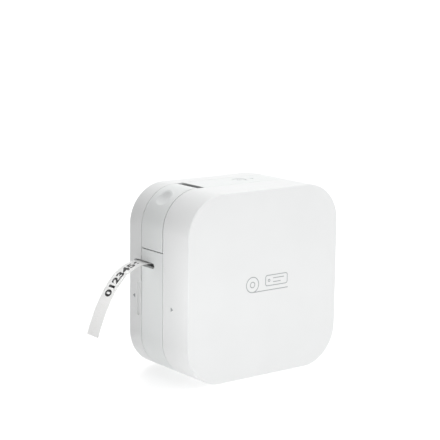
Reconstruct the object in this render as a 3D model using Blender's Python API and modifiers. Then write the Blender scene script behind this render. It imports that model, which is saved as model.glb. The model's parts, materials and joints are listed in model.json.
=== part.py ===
"""Compact tape label maker: an upright box of three shells on edge, with the print works inside.

Frame: metres, +X to the right, +Y to the rear, +Z up. The origin is on the underside, at the
middle of the body's width and depth. The front cover faces -Y. The label leaves on the -X side.
"""

import math

import bmesh
import bpy
from mathutils import Matrix, Vector

MM = 0.001

# Outer body
WIDTH = 115 * MM
HEIGHT = 115 * MM
DEPTH = 61 * MM
CORNER = 24.5 * MM  # radius of the four big corners
WALL = 2 * MM
FRONT_DEPTH = 25.9 * MM  # the front cover's share of the depth
BAND_DEPTH = 22.2 * MM  # the centre band's share
SEAM = 0.4 * MM  # shadow gap between two shells
EDGE = 0.8 * MM  # softened outer edge of the two covers

# Fits
GAP = 0.3 * MM  # between pieces that rest on each other
SLIP = 0.15 * MM  # radial, round a pin or a shaft
LIP = 1.5 * MM  # thickness of the band's locating lips
LIP_REACH = 4 * MM

# Label tape
TAPE_WIDTH = 12 * MM
TAPE_THICK = 0.3 * MM
TAPE_Z = 69.4 * MM
TAPE_TO_SEAM = 3.1 * MM  # the tape's middle is this far in front of the rear seam
SLOT_LENGTH = 21.4 * MM
SLOT_HEIGHT = 3.5 * MM
SLOT_DROP = 0.9 * MM  # the slot's middle is this far below the tape

# Inner walls
MID_WALL = 2 * MM
MID_WALL_Y = 3 * MM  # front face of the wall between the tape bay and the gears
FRAME_WALL = 1.6 * MM
SHELF_THICK = 1.5 * MM

# Cutter
LEVER_WALL = 1.6 * MM
LEVER_FOOT = 78.2 * MM  # height of the lever's lower end
LEVER_TOP_X = 30.3 * MM  # the lever's upper end, from the left side of the body
LEVER_TUCK = 4 * MM  # how far the upper end reaches under the band
LEVER_SINK = 1.9 * MM
DIMPLE = 6 * MM  # radius of the thumb dimple
DIMPLE_DEPTH = 1.3 * MM
BLADE_DROP = 2.2 * MM
BLADE_THICK = 0.8 * MM
BLADE_FROM_SIDE = 7.8 * MM

# Tape cassette
CASSETTE_WIDTH = 84 * MM
CASSETTE_DEPTH = 17 * MM
CASSETTE_WALL = 1.2 * MM
CASSETTE_FOOT = 10 * MM
ROLL = 19.5 * MM
RIBBON = 7 * MM

# Rollers and gears
FEED_ROLLER = 5.35 * MM
PLATEN = 5 * MM
PINCH = 4.5 * MM
SHAFT = 1.5 * MM
MODULE = 0.8 * MM
FEED_TEETH = 30
IDLER_TEETH = 36
LARGE_TEETH = 40
SMALL_TEETH = 12
PINION_TEETH = 10

# Power
BATTERY_RADIUS = 5.25 * MM
BATTERY_LENGTH = 44.5 * MM
BATTERY_SPACE = 1 * MM  # between two rows of cells
BATTERY_FOOT = 13.6 * MM  # underside of the lowest row
BATTERY_ROOM = 1.1 * MM  # between the cells and the front cover
MOTOR_RADIUS = 8 * MM
MOTOR_LENGTH = 14.6 * MM
BUTTON_RADIUS = 4.5 * MM
BUTTON_TRAVEL = 0.7 * MM
JACK_BORE = 2.75 * MM

ARC_STEPS = 10  # straight pieces in a quarter of a big corner
ROUND_SIDES = 24
SMALL_SIDES = 16

LEFT = -WIDTH / 2
RIGHT = WIDTH / 2
FRONT = -DEPTH / 2
REAR = DEPTH / 2
SEAM_1 = FRONT + FRONT_DEPTH
SEAM_2 = SEAM_1 + BAND_DEPTH
BAND_FRONT = SEAM_1 + SEAM / 2
BAND_REAR = SEAM_2 - SEAM / 2
BAY_Y = MID_WALL_Y + MID_WALL
TAPE_Y = SEAM_2 - TAPE_TO_SEAM
CORNER_X = LEFT + CORNER  # middle of the upper left corner's arc
CORNER_Z = HEIGHT - CORNER

parts = bpy.data.collections.new("label_maker")
tools = bpy.data.collections.new("cutters")


# Making solids

def clear_scene():
    for obj in list(bpy.data.objects):
        bpy.data.objects.remove(obj, do_unlink=True)
    for collection in (parts, tools):
        bpy.context.scene.collection.children.link(collection)


def plastic(name, color, roughness=0.45, metallic=0.0):
    """A Principled material in the part's own colour."""
    made = bpy.data.materials.new(name)
    made.use_nodes = True
    shader = made.node_tree.nodes["Principled BSDF"]
    shader.inputs["Base Color"].default_value = (*color, 1)
    shader.inputs["Roughness"].default_value = roughness
    shader.inputs["Metallic"].default_value = metallic
    return made


def place(obj, look=None, origin=(0, 0, 0)):
    """Puts a finished mesh in its collection. A mesh with no look is a cutter or a shape to join."""
    shift = Vector(origin)
    obj.data.transform(Matrix.Translation(-shift))
    obj.location = shift
    if look is None:
        tools.objects.link(obj)
        obj.hide_render = True
        obj.display_type = "WIRE"
    else:
        parts.objects.link(obj)
        obj.data.materials.append(look)
        obj.data.shade_smooth()
        obj.data.set_sharp_from_angle(angle=math.radians(35))
    return obj


def from_bmesh(name, made):
    mesh = bpy.data.meshes.new(name)
    made.to_mesh(mesh)
    made.free()
    return bpy.data.objects.new(name, mesh)


def box(name, low, high, look=None, origin=(0, 0, 0), bevel=0.0):
    made = bmesh.new()
    bmesh.ops.create_cube(made, size=1)
    low, high = Vector(low), Vector(high)
    size = high - low
    bmesh.ops.transform(made, matrix=Matrix.Diagonal((*size, 1)), verts=made.verts)
    bmesh.ops.translate(made, vec=(low + high) / 2, verts=made.verts)
    obj = place(from_bmesh(name, made), look, origin)
    if bevel:
        soften(obj, bevel)
    return obj


def soften(obj, width, segments=2):
    bevel = obj.modifiers.new("edges", "BEVEL")
    bevel.width = width
    bevel.segments = segments
    bevel.limit_method = "ANGLE"


TURNS = {
    "X": Matrix(((0, 0, 1, 0), (1, 0, 0, 0), (0, 1, 0, 0), (0, 0, 0, 1))),
    "Y": Matrix(((1, 0, 0, 0), (0, 0, -1, 0), (0, 1, 0, 0), (0, 0, 0, 1))),
    "Z": Matrix.Identity(4),
}


def prism(name, loops, axis, start, end, look=None, origin=(0, 0, 0)):
    """Flat outlines drawn out along an axis. An outline inside another is a hole.

    Outline points are (x, z) for axis Y, (y, z) for axis X and (x, y) for axis Z.
    """
    curve = bpy.data.curves.new(name, "CURVE")
    curve.dimensions = "2D"
    curve.fill_mode = "BOTH"
    curve.extrude = (end - start) / 2
    for points in loops:
        spline = curve.splines.new("POLY")
        spline.points.add(len(points) - 1)
        for point, (u, v) in zip(spline.points, points):
            point.co = (u, v, 0, 1)
        spline.use_cyclic_u = True
    drawn = bpy.data.objects.new(name + "_outline", curve)
    bpy.context.scene.collection.objects.link(drawn)
    graph = bpy.context.evaluated_depsgraph_get()
    mesh = bpy.data.meshes.new_from_object(drawn.evaluated_get(graph))
    bpy.data.objects.remove(drawn, do_unlink=True)
    bpy.data.curves.remove(curve)
    middle = -(start + end) / 2 if axis == "Y" else (start + end) / 2
    mesh.transform(TURNS[axis] @ Matrix.Translation((0, 0, middle)))
    made = bmesh.new()
    made.from_mesh(mesh)
    bpy.data.meshes.remove(mesh)
    bmesh.ops.remove_doubles(made, verts=made.verts, dist=1e-6)
    bmesh.ops.recalc_face_normals(made, faces=made.faces)
    return place(from_bmesh(name, made), look, origin)


def rod(name, axis, center, start, end, radius, look=None, origin=(0, 0, 0), sides=SMALL_SIDES):
    """A round bar along an axis. center is its place across the axis, as a prism's points are."""
    made = bmesh.new()
    bmesh.ops.create_cone(
        made, cap_ends=True, segments=sides, radius1=radius, radius2=radius, depth=end - start
    )
    middle = -(start + end) / 2 if axis == "Y" else (start + end) / 2
    bmesh.ops.translate(made, vec=(*center, middle), verts=made.verts)
    bmesh.ops.transform(made, matrix=TURNS[axis], verts=made.verts)
    return place(from_bmesh(name, made), look, origin)


def turned(name, axis, center, profile, look, sides=ROUND_SIDES, closed=False):
    """A turned piece, its origin on its own axis. profile holds (radius, place along the axis).

    It runs down the outer side, from the far end to the near end, and a closed one comes back up
    the bore.
    """
    mesh = bpy.data.meshes.new(name)
    count = len(profile)
    edges = [(i, i + 1) for i in range(count - 1)]
    if closed:
        edges.append((count - 1, 0))
    mesh.from_pydata([(radius, 0, along) for radius, along in profile], edges, [])
    obj = bpy.data.objects.new(name, mesh)
    parts.objects.link(obj)
    screw = obj.modifiers.new("turn", "SCREW")
    screw.steps = screw.render_steps = sides
    screw.use_merge_vertices = True
    screw.merge_threshold = 0.00001
    screw.use_smooth_shade = True
    mesh.materials.append(look)
    if axis == "Y":
        obj.rotation_euler = (-math.pi / 2, 0, 0)
        obj.location = (center[0], 0, center[1])
    elif axis == "X":
        obj.rotation_euler = (0, math.pi / 2, 0)
        obj.location = (0, center[0], center[1])
    else:
        obj.location = (center[0], center[1], 0)
    return obj


def boolean(obj, other, operation):
    modifier = obj.modifiers.new(other.name, "BOOLEAN")
    modifier.operation = operation
    modifier.object = other
    modifier.solver = "EXACT"


def join(obj, *others):
    for other in others:
        boolean(obj, other, "UNION")


def cut(obj, *others):
    for other in others:
        boolean(obj, other, "DIFFERENCE")


# Outlines

def arc(center, radius, start, end, steps):
    """Points from start to end, in degrees, counter-clockwise from the first axis."""
    angles = [math.radians(start + (end - start) * i / steps) for i in range(steps + 1)]
    return [(center[0] + radius * math.cos(a), center[1] + radius * math.sin(a)) for a in angles]


def rounded(low, high, radii, steps=ARC_STEPS):
    """A box outline with its own radius at each corner: lower left, lower right, upper right, upper left."""
    corners = ((low[0], low[1], 1, 1, 180), (high[0], low[1], -1, 1, 270),
               (high[0], high[1], -1, -1, 0), (low[0], high[1], 1, -1, 90))
    points = []
    for (x, z, to_x, to_z, start), radius in zip(corners, radii):
        if radius > 0:
            points += arc((x + to_x * radius, z + to_z * radius), radius, start, start + 90, steps)
        else:
            points.append((x, z))
    return points


def body_outline(inset):
    radius = CORNER - inset
    return rounded((LEFT + inset, inset), (RIGHT - inset, HEIGHT - inset), (radius,) * 4)


def circle(center, radius, sides=SMALL_SIDES):
    return arc(center, radius, 0, 360, sides)[:-1]


def ribbon(path, thickness):
    """The outline of a thin strip that follows a path, half its thickness to each side."""
    near, far = [], []
    for i, (u, v) in enumerate(path):
        before = path[max(i - 1, 0)]
        after = path[min(i + 1, len(path) - 1)]
        along = Vector((after[0] - before[0], after[1] - before[1])).normalized()
        across = Vector((-along.y, along.x)) * thickness / 2
        near.append((u + across.x, v + across.y))
        far.append((u - across.x, v - across.y))
    return near + far[::-1]


def polar(center, distance, degrees):
    angle = math.radians(degrees)
    return (center[0] + distance * math.cos(angle), center[1] + distance * math.sin(angle))


def pitch_radius(teeth):
    return MODULE * teeth / 2


def gear_outline(center, teeth, phase):
    """Straight-sided teeth, thinned a little so that a pair runs with clearance."""
    pitch = pitch_radius(teeth)
    tip, root = pitch + 0.8 * MODULE, pitch - 1.15 * MODULE
    step = 360 / teeth
    points = []
    for i in range(teeth):
        middle = phase + i * step
        for radius, share in ((root, -0.28), (tip, -0.11), (tip, 0.11), (root, 0.28)):
            points.append(polar(center, radius, middle + share * step))
    return points


def meshed_phase(teeth, phase, other_teeth, direction):
    """Where the second gear's first tooth points, so that its teeth meet the first gear's gaps."""
    along = (direction - phase) * teeth / 360
    return direction + 180 - 360 / other_teeth * (0.5 - along)


# Places that several pieces share

SLOT_Z = TAPE_Z - SLOT_DROP
SLOT_FRONT = TAPE_Y - SLOT_LENGTH / 2 + 0.3 * MM
SLOT_REAR = SLOT_FRONT + SLOT_LENGTH

PIVOT = (LEFT + 3.5 * MM, LEVER_FOOT + 1.3 * MM)
PIN_RADIUS = 1 * MM
LEVER_END = LEFT + LEVER_TOP_X

BLADE_X = LEFT + BLADE_FROM_SIDE
CARRIAGE = (BLADE_X - 2 * MM, BLADE_X + 2.1 * MM)
CARRIAGE_FOOT = TAPE_Z + 4.6 * MM
CARRIAGE_TOP = CARRIAGE_FOOT + 20 * MM
TAB_Z = CARRIAGE_FOOT + 17 * MM
TAB_THICK = 2.5 * MM
TAB_END = CARRIAGE[1] + 14.6 * MM
PUSH_X = TAB_END - 1.5 * MM

CASSETTE_LEFT = CARRIAGE[1] + 5.6 * MM
CASSETTE_RIGHT = CASSETTE_LEFT + CASSETTE_WIDTH
CASSETTE_FRONT = BAY_Y + 1 * MM
CASSETTE_REAR = CASSETTE_FRONT + CASSETTE_DEPTH
CASSETTE_TOP = TAPE_Z - 1 * MM
ARM_TOP = TAPE_Z + 3.1 * MM

FEED = (CASSETTE_LEFT + 8 * MM, TAPE_Z - TAPE_THICK / 2 - GAP - FEED_ROLLER)
HEAD_X = FEED[0] + 26 * MM
NOTCH = (HEAD_X - 12 * MM, HEAD_X + 16 * MM)
NOTCH_Z = TAPE_Z - 13.4 * MM
PINCH_AT = (FEED[0], TAPE_Z + TAPE_THICK / 2 + GAP + PINCH)
PLATEN_AT = (HEAD_X, TAPE_Z + TAPE_THICK / 2 + GAP + PLATEN)
ARM_PIVOT = (HEAD_X + 24 * MM, TAPE_Z + 14.6 * MM)

# Where the lever's ears and the band's lugs take turns along the hinge pin
EARS_Y = ((BAND_FRONT + 0.8 * MM, BAND_FRONT + 3 * MM), (BAY_Y + 0.4 * MM, BAY_Y + 2.2 * MM))
LUGS_Y = ((BAND_FRONT + 3.3 * MM, MID_WALL_Y - 0.6 * MM), (BAY_Y + 2.6 * MM, BAY_Y + 4.8 * MM))
SPRING_X = CARRIAGE[1] + 2.8 * MM
CUTTER_SPRING = (CARRIAGE_FOOT + 2 * MM + GAP, TAB_Z - GAP)
ARM_SPRING_X = HEAD_X - 12 * MM
ARM_BRIDGE = (ARM_PIVOT[1] - 2 * MM, ARM_PIVOT[1])
ARM_SPRING = (ARM_BRIDGE[1] + GAP, ARM_BRIDGE[1] + 8 * MM)

IDLER_DIRECTION = 20
LARGE_DIRECTION = 15
MOTOR_DIRECTION = 0
TAKEUP_DIRECTION = -84
IDLER = polar(FEED, pitch_radius(FEED_TEETH + IDLER_TEETH), IDLER_DIRECTION)
LARGE = polar(IDLER, pitch_radius(IDLER_TEETH + SMALL_TEETH), LARGE_DIRECTION)
MOTOR = polar(LARGE, pitch_radius(LARGE_TEETH + PINION_TEETH), MOTOR_DIRECTION)
TAKEUP = polar(FEED, pitch_radius(2 * FEED_TEETH), TAKEUP_DIRECTION)
SUPPLY = (TAKEUP[0] + 2 * RIBBON + 3 * MM, TAKEUP[1] + 7 * MM)
ROLL_AT = (CASSETTE_RIGHT - CASSETTE_WALL - ROLL - 3 * MM, CASSETTE_FOOT + CASSETTE_WALL + ROLL + 3 * MM)

GEAR_REAR = MID_WALL_Y - 2.6 * MM  # rear faces of the gears in the layer next to the mid wall
GEAR_THICK = 2.8 * MM
GEAR_FRONT = GEAR_REAR - GEAR_THICK
LARGE_REAR = GEAR_FRONT - 0.8 * MM
LARGE_FRONT = LARGE_REAR - GEAR_THICK
PLATE = (LARGE_FRONT - 1 * MM, LARGE_FRONT - 0.5 * MM)
MOTOR_FRONT_FACE = PLATE[0] - GAP

FRAME_INSET = WALL + GAP + LIP + 0.6 * MM
FRAME_FRONT = FRONT + WALL + 0.5 * MM
FRAME_REAR = BAND_FRONT - GAP / 2  # a GAP in front of the lever, which swings in behind it
BATTERY_PITCH = 2 * BATTERY_RADIUS + BATTERY_SPACE
BATTERY_Y = FRONT + WALL + BATTERY_ROOM + BATTERY_RADIUS
BATTERY_FLOOR_Y = BATTERY_Y + BATTERY_RADIUS + GAP + FRAME_WALL
BATTERY_ROWS = [BATTERY_FOOT + BATTERY_RADIUS + i * BATTERY_PITCH for i in (2, 1, 0)]
SHELF_Z = BATTERY_ROWS[0] + BATTERY_RADIUS + 0.4 * MM + SHELF_THICK
BATTERY_GAP = 1.65 * MM  # from the middle partition to a cell
BATTERY_END = BATTERY_GAP + BATTERY_LENGTH

SCREW_UPPER = (WIDTH / 2 - 19.5 * MM, HEIGHT - 14 * MM)
SCREW_LOWER = (WIDTH / 2 - 10.2 * MM, SHELF_Z + 3.2 * MM)
SCREWS = [(side * x, z) for x, z in (SCREW_UPPER, SCREW_LOWER) for side in (-1, 1)]
POST_RADIUS = 3.4 * MM
SCREW_SEAT_Y = BAND_FRONT - 6 * MM
SCREW_HOLE = 1.3 * MM
SCREW_HEAD_BORE = 2.5 * MM
SCREW_LENGTH = 10 * MM

BUTTON = (9 * MM, TAPE_Y - 7 * MM)
LIGHT = (19 * MM, TAPE_Y - 7 * MM)
BOARD_Z = HEIGHT - 11 * MM
JACK = (TAPE_Y - 5 * MM, CORNER + 5 * MM)

CABLE_Z = (SHELF_Z + 10.5 * MM, SHELF_Z + 16.5 * MM)
CABLE_X = RIGHT - 10 * MM
PCB_REAR = FRAME_FRONT + 4.4 * MM
PCB_THICK = 1.6 * MM
PCB_FOOT = SHELF_Z + 10.5 * MM


# Shells

def make_front_cover(look):
    cover = prism("front_cover", [body_outline(0)], "Y", FRONT, SEAM_1 - SEAM / 2, look)
    round_rim(cover, FRONT)
    cut(cover, prism("front_cover_hollow", [body_outline(WALL)], "Y", FRONT + WALL, 0))
    for side in (-1, 1):
        inner = WIDTH / 2 - WALL
        rib_x = sorted((side * (inner + 0.5 * MM), side * (inner - 1.6 * MM)))
        join(cover, box(f"front_rib_{side}", (rib_x[0], FRONT + 1 * MM, 70 * MM),
                        (rib_x[1], BAND_FRONT - LIP_REACH - 4 * MM, 71.5 * MM)))
    return cover


def make_rear_cover(look):
    cover = prism("rear_cover", [body_outline(0)], "Y", SEAM_2 + SEAM / 2, REAR, look)
    round_rim(cover, REAR)
    cut(cover, prism("rear_cover_hollow", [body_outline(WALL)], "Y", 0, REAR - WALL))
    for i, z in enumerate((CASSETTE_FOOT + 18 * MM, CASSETTE_FOOT + 36 * MM)):
        join(cover, box(f"cassette_rib_{i}", (CASSETTE_LEFT + 14 * MM, CASSETTE_REAR + 0.5 * MM, z),
                        (CASSETTE_RIGHT - 14 * MM, REAR - WALL / 2, z + 1.5 * MM)))
    cut(cover, slot_cutter("rear_cover_slot", front_end=SEAM_2 - 1 * MM))
    # The finger groove that shows where to pull the cover off.
    groove = rod("rear_cover_groove", "Z", (LEFT - 1.2 * MM, SEAM_2 + 3.4 * MM), SLOT_Z - 33 * MM,
                 SLOT_Z - 12.5 * MM, 2 * MM)
    cut(cover, groove)
    return cover


def round_rim(cover, rim_y):
    """Softens the outline's edge at one end of a cover and leaves the seam end sharp."""
    mesh = cover.data
    weights = mesh.attributes.new("bevel_weight_edge", "FLOAT", "EDGE")
    for edge in mesh.edges:
        on_rim = all(abs(mesh.vertices[v].co.y - rim_y) < 1e-6 for v in edge.vertices)
        weights.data[edge.index].value = 1.0 if on_rim else 0.0
    bevel = cover.modifiers.new("rim", "BEVEL")
    bevel.width = EDGE
    bevel.segments = 2
    bevel.limit_method = "WEIGHT"


def slot_cutter(name, front_end=None, rear_end=None):
    """The label's way out. Each end is round, or square where it runs out at a given place."""
    radius = SLOT_HEIGHT / 2
    low, high = SLOT_Z - radius, SLOT_Z + radius
    if front_end is None:
        outline = arc((SLOT_FRONT + radius, SLOT_Z), radius, 90, 270, 8)
    else:
        outline = [(front_end, high), (front_end, low)]
    if rear_end is None:
        outline += arc((SLOT_REAR - radius, SLOT_Z), radius, -90, 90, 8)
    else:
        outline += [(rear_end, low), (rear_end, high)]
    return prism(name, [outline], "X", LEFT - 3 * MM, LEFT + 6 * MM)


def make_chassis(look):
    """The centre band, its two locating lips, the wall across it and what stands on that wall."""
    chassis = prism("chassis", [body_outline(0)], "Y", BAND_FRONT, BAND_REAR, look)
    lip_front, lip_rear = BAND_FRONT - LIP_REACH, BAND_REAR + LIP_REACH
    hollow = [body_outline(WALL + GAP + LIP)]
    join(chassis, prism("lips", [body_outline(WALL + GAP)], "Y", lip_front, lip_rear))
    cut(
        chassis,
        prism("gear_bay", hollow, "Y", lip_front - 1 * MM, MID_WALL_Y),
        prism("tape_bay", hollow, "Y", BAY_Y, lip_rear + 1 * MM),
    )
    cut(chassis, lever_room(), slot_cutter("band_slot", rear_end=BAND_REAR + LIP_REACH + 1 * MM))
    add_cutter_mounts(chassis)
    add_posts(chassis)
    add_button_seat(chassis)
    add_jack_seat(chassis)
    cut(
        chassis,
        rod("feed_bush", "Y", FEED, MID_WALL_Y - 1 * MM, BAY_Y + 1 * MM, SHAFT + SLIP),
        rod("takeup_bush", "Y", TAKEUP, MID_WALL_Y - 1 * MM, BAY_Y + 1 * MM, SHAFT + SLIP),
        box("cable_gate", (CABLE_X - 1.2 * MM, MID_WALL_Y - 1 * MM, CABLE_Z[0] - 1 * MM),
            (CABLE_X + 1.2 * MM, BAY_Y + 1 * MM, CABLE_Z[1] + 1 * MM)),
    )
    return chassis


def lever_room():
    """What the band loses at its upper left corner, where the cutter lever sits and swings in."""
    inner = CORNER - 7.5 * MM
    wall_x = LEFT + 4.5 * MM
    step_z = CORNER_Z + 2.7 * MM
    start = 180 - math.degrees(math.asin((step_z - CORNER_Z) / inner))
    sweep = arc((CORNER_X, CORNER_Z), inner, start, 90, 8)
    pocket_x = LEVER_END + 9.7 * MM
    roof = HEIGHT - 1.5 * MM
    outline = [(LEFT - 9 * MM, LEVER_FOOT - 0.6 * MM), (LEFT - 9 * MM, HEIGHT + 9 * MM),
               (LEVER_END, HEIGHT + 9 * MM), (LEVER_END, roof), (pocket_x, roof),
               (pocket_x, CORNER_Z + inner)]
    outline += sweep[::-1]
    outline += [(wall_x, step_z), (wall_x, LEVER_FOOT - 0.6 * MM)]
    return prism("lever_room", [outline], "Y", BAND_FRONT - GAP, BAND_REAR + GAP)


def add_cutter_mounts(chassis):
    """Hinge lugs for the lever, the blade's guide slot, its spring seat and the anvil's foot."""
    for i, (low, high) in enumerate(LUGS_Y):
        join(chassis, box(f"lever_lug_{i}", (PIVOT[0] - 1.5 * MM, low, LEVER_FOOT - 4.2 * MM),
                          (PIVOT[0] + 1.7 * MM, high, PIVOT[1] + 2 * MM)))
    join(
        chassis,
        box("spring_seat", (SPRING_X - 2.5 * MM, MID_WALL_Y + 1 * MM, CARRIAGE_FOOT),
            (SPRING_X + 2.4 * MM, TAPE_Y + 3.5 * MM, CARRIAGE_FOOT + 2 * MM)),
        box("anvil_foot", (BLADE_X - 1.3 * MM, MID_WALL_Y + 1 * MM, TAPE_Z - 11.4 * MM),
            (BLADE_X + 1.2 * MM, BAY_Y + 4 * MM, TAPE_Z - 5.7 * MM)),
        box("arm_spring_seat", (ARM_SPRING_X - 4 * MM, MID_WALL_Y + 1 * MM, ARM_SPRING[1] + GAP),
            (ARM_SPRING_X + 4 * MM, TAPE_Y + 3.5 * MM, ARM_SPRING[1] + GAP + 1.8 * MM)),
    )
    cut(
        chassis,
        rod("lever_pin_hole", "Y", PIVOT, BAND_FRONT + 2 * MM, BAY_Y + 6 * MM, PIN_RADIUS + SLIP),
        box("carriage_slot", (BLADE_X - 1.2 * MM, MID_WALL_Y - 1 * MM, CARRIAGE_FOOT),
            (BLADE_X + 1.2 * MM, BAY_Y + 1 * MM, CARRIAGE_FOOT + 18 * MM)),
    )


def add_posts(chassis):
    for i, place_at in enumerate(SCREWS):
        post = rod(f"post_{i}", "Y", place_at, SCREW_SEAT_Y + 3.3 * MM, MID_WALL_Y + 1 * MM,
                   POST_RADIUS - 0.2 * MM)
        hole = rod(f"post_hole_{i}", "Y", place_at, SCREW_SEAT_Y + 2 * MM, MID_WALL_Y - 1 * MM, SCREW_HOLE)
        join(chassis, post)
        cut(chassis, hole)


def add_button_seat(chassis):
    under = HEIGHT - 2 * MM
    cut(
        chassis,
        rod("button_pocket", "Z", BUTTON, HEIGHT - 9 * MM, under, BUTTON_RADIUS + 1.5 * MM,
            sides=ROUND_SIDES),
        rod("button_hole", "Z", BUTTON, under - 1 * MM, HEIGHT + 1 * MM, BUTTON_RADIUS + 0.2 * MM,
            sides=ROUND_SIDES),
        rod("light_hole", "Z", LIGHT, HEIGHT - 9 * MM, HEIGHT + 1 * MM, 1 * MM + SLIP),
    )


def add_jack_seat(chassis):
    cut(chassis, rod("jack_hole", "X", JACK, RIGHT - 9 * MM, RIGHT + 1 * MM, JACK_BORE + 1.3 * MM,
                     sides=ROUND_SIDES))


def make_front_frame(look):
    """Holds the batteries in front and closes off the electronics above them."""
    inset, inner = FRAME_INSET, FRAME_INSET + FRAME_WALL
    outer = body_outline(inset)
    frame = prism("front_frame", [outer], "Y", FRAME_FRONT, FRAME_REAR, look)
    radius = CORNER - inner
    low, high = (LEFT + inner, inner), (RIGHT - inner, HEIGHT - inner)
    shelf_low, shelf_high = SHELF_Z - SHELF_THICK, SHELF_Z
    cut(
        frame,
        prism("gear_room", [body_outline(inner)], "Y", BATTERY_FLOOR_Y, FRAME_REAR + 1 * MM),
        prism("board_room", [rounded((low[0], shelf_high), high, (0, 0, radius, radius))], "Y",
              FRAME_FRONT + FRAME_WALL, BATTERY_FLOOR_Y + 1 * MM),
        prism("battery_bay", [rounded(low, (high[0], shelf_low), (radius, radius, 0, 0))], "Y",
              FRAME_FRONT - 1 * MM, BATTERY_FLOOR_Y - FRAME_WALL),
    )
    floor_y = BATTERY_FLOOR_Y - FRAME_WALL / 2
    rib_front = BATTERY_Y - BATTERY_RADIUS * 0.6
    rows_low = BATTERY_ROWS[-1] - BATTERY_RADIUS + 0.3 * MM
    join(frame, box("partition", (-0.75 * MM, rib_front, rows_low), (0.75 * MM, floor_y, SHELF_Z - 1 * MM)))
    for side in (-1, 1):
        rib_x = sorted((side * (BATTERY_END + 1.8 * MM), side * (WIDTH / 2 - inner + 0.5 * MM)))
        join(frame, box(f"end_rib_{side}", (rib_x[0], rib_front, rows_low),
                        (rib_x[1], floor_y, SHELF_Z - 1 * MM)))
    for i, place_at in enumerate(SCREWS):
        tube_end = SCREW_SEAT_Y + 3 * MM
        join(frame, rod(f"tube_{i}", "Y", place_at, FRAME_FRONT + 0.5 * MM, tube_end, POST_RADIUS))
        cut(
            frame,
            rod(f"tube_bore_{i}", "Y", place_at, FRAME_FRONT - 1 * MM, SCREW_SEAT_Y, SCREW_HEAD_BORE),
            rod(f"tube_hole_{i}", "Y", place_at, SCREW_SEAT_Y - 1 * MM, SCREW_SEAT_Y + 4 * MM, SCREW_HOLE),
        )
    return frame


# Cutter

def lever_outline():
    """The band's corner as a bent plate whose upper end dips and tucks in under the band."""
    dip = LEVER_SINK
    outer = [(LEFT, LEVER_FOOT)] + arc((CORNER_X, CORNER_Z), CORNER, 180, 94, ARC_STEPS)
    inner = arc((CORNER_X, CORNER_Z), CORNER - LEVER_WALL, 94, 180, ARC_STEPS)
    inner.append((LEFT + LEVER_WALL, LEVER_FOOT))
    bend = LEVER_END - 4.6 * MM
    outer += [(bend, HEIGHT - 0.2 * MM), (LEVER_END - 1.8 * MM, HEIGHT - dip * 0.75),
              (LEVER_END - 0.3 * MM, HEIGHT - dip), (LEVER_END + LEVER_TUCK, HEIGHT - dip - 0.1 * MM)]
    under_z = HEIGHT - dip - LEVER_WALL
    under = [(LEVER_END + LEVER_TUCK, under_z), (LEVER_END - 1 * MM, under_z),
             (bend, HEIGHT - 0.5 * MM - LEVER_WALL)]
    return outer + under + inner


def make_cutter_lever(look):
    origin = (PIVOT[0], 0, PIVOT[1])
    front, rear = BAND_FRONT + GAP / 2, BAND_REAR - GAP / 2
    lever = prism("cutter_lever", [lever_outline()], "Y", front, rear, look, origin)
    thumb = polar((CORNER_X, CORNER_Z), CORNER - LEVER_WALL - 0.4 * MM, 132.5)
    pad = rod("thumb_pad", "Z", (0, 0), -1.7 * MM, 1.4 * MM, DIMPLE + 1 * MM, sides=ROUND_SIDES)
    pad.location = (thumb[0], (BAND_FRONT + BAND_REAR) / 2, thumb[1])
    pad.rotation_euler = (0, math.radians(132.5 - 180), 0)
    join(lever, pad)
    ball_radius = (DIMPLE ** 2 + DIMPLE_DEPTH ** 2) / (2 * DIMPLE_DEPTH)
    ball_at = polar((CORNER_X, CORNER_Z), CORNER + ball_radius - DIMPLE_DEPTH, 132.5)
    made = bmesh.new()
    bmesh.ops.create_uvsphere(made, u_segments=64, v_segments=48, radius=ball_radius)
    ball = place(from_bmesh("dimple", made))
    ball.location = (ball_at[0], (BAND_FRONT + BAND_REAR) / 2, ball_at[1])
    cut(lever, ball)
    for i, (low, high) in enumerate(EARS_Y):
        ear = [(LEFT + 0.8 * MM, PIVOT[1] + 1.9 * MM), (LEFT + 0.8 * MM, LEVER_FOOT + 0.2 * MM)]
        ear += arc(PIVOT, 1.9 * MM, -50, 90, 6)
        join(lever, prism(f"ear_{i}", [ear], "Y", low, high))
    cut(lever, rod("lever_pin_bore", "Y", PIVOT, BAND_FRONT - 1 * MM, BAY_Y + 6 * MM, PIN_RADIUS + SLIP))
    push_z = TAB_Z + TAB_THICK + GAP
    finger = [(PUSH_X - 2 * MM, push_z), (PUSH_X + 1 * MM, push_z), (PUSH_X + 1.5 * MM, push_z + 2 * MM),
              (CORNER_X - 5.5 * MM, CORNER_Z + CORNER - LEVER_WALL - 0.2 * MM),
              (CORNER_X - 11 * MM, CORNER_Z + CORNER - LEVER_WALL - 1.8 * MM)]
    join(lever, prism("finger", [finger], "Y", TAPE_Y - 2.5 * MM, TAPE_Y + 2 * MM))
    return lever


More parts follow.
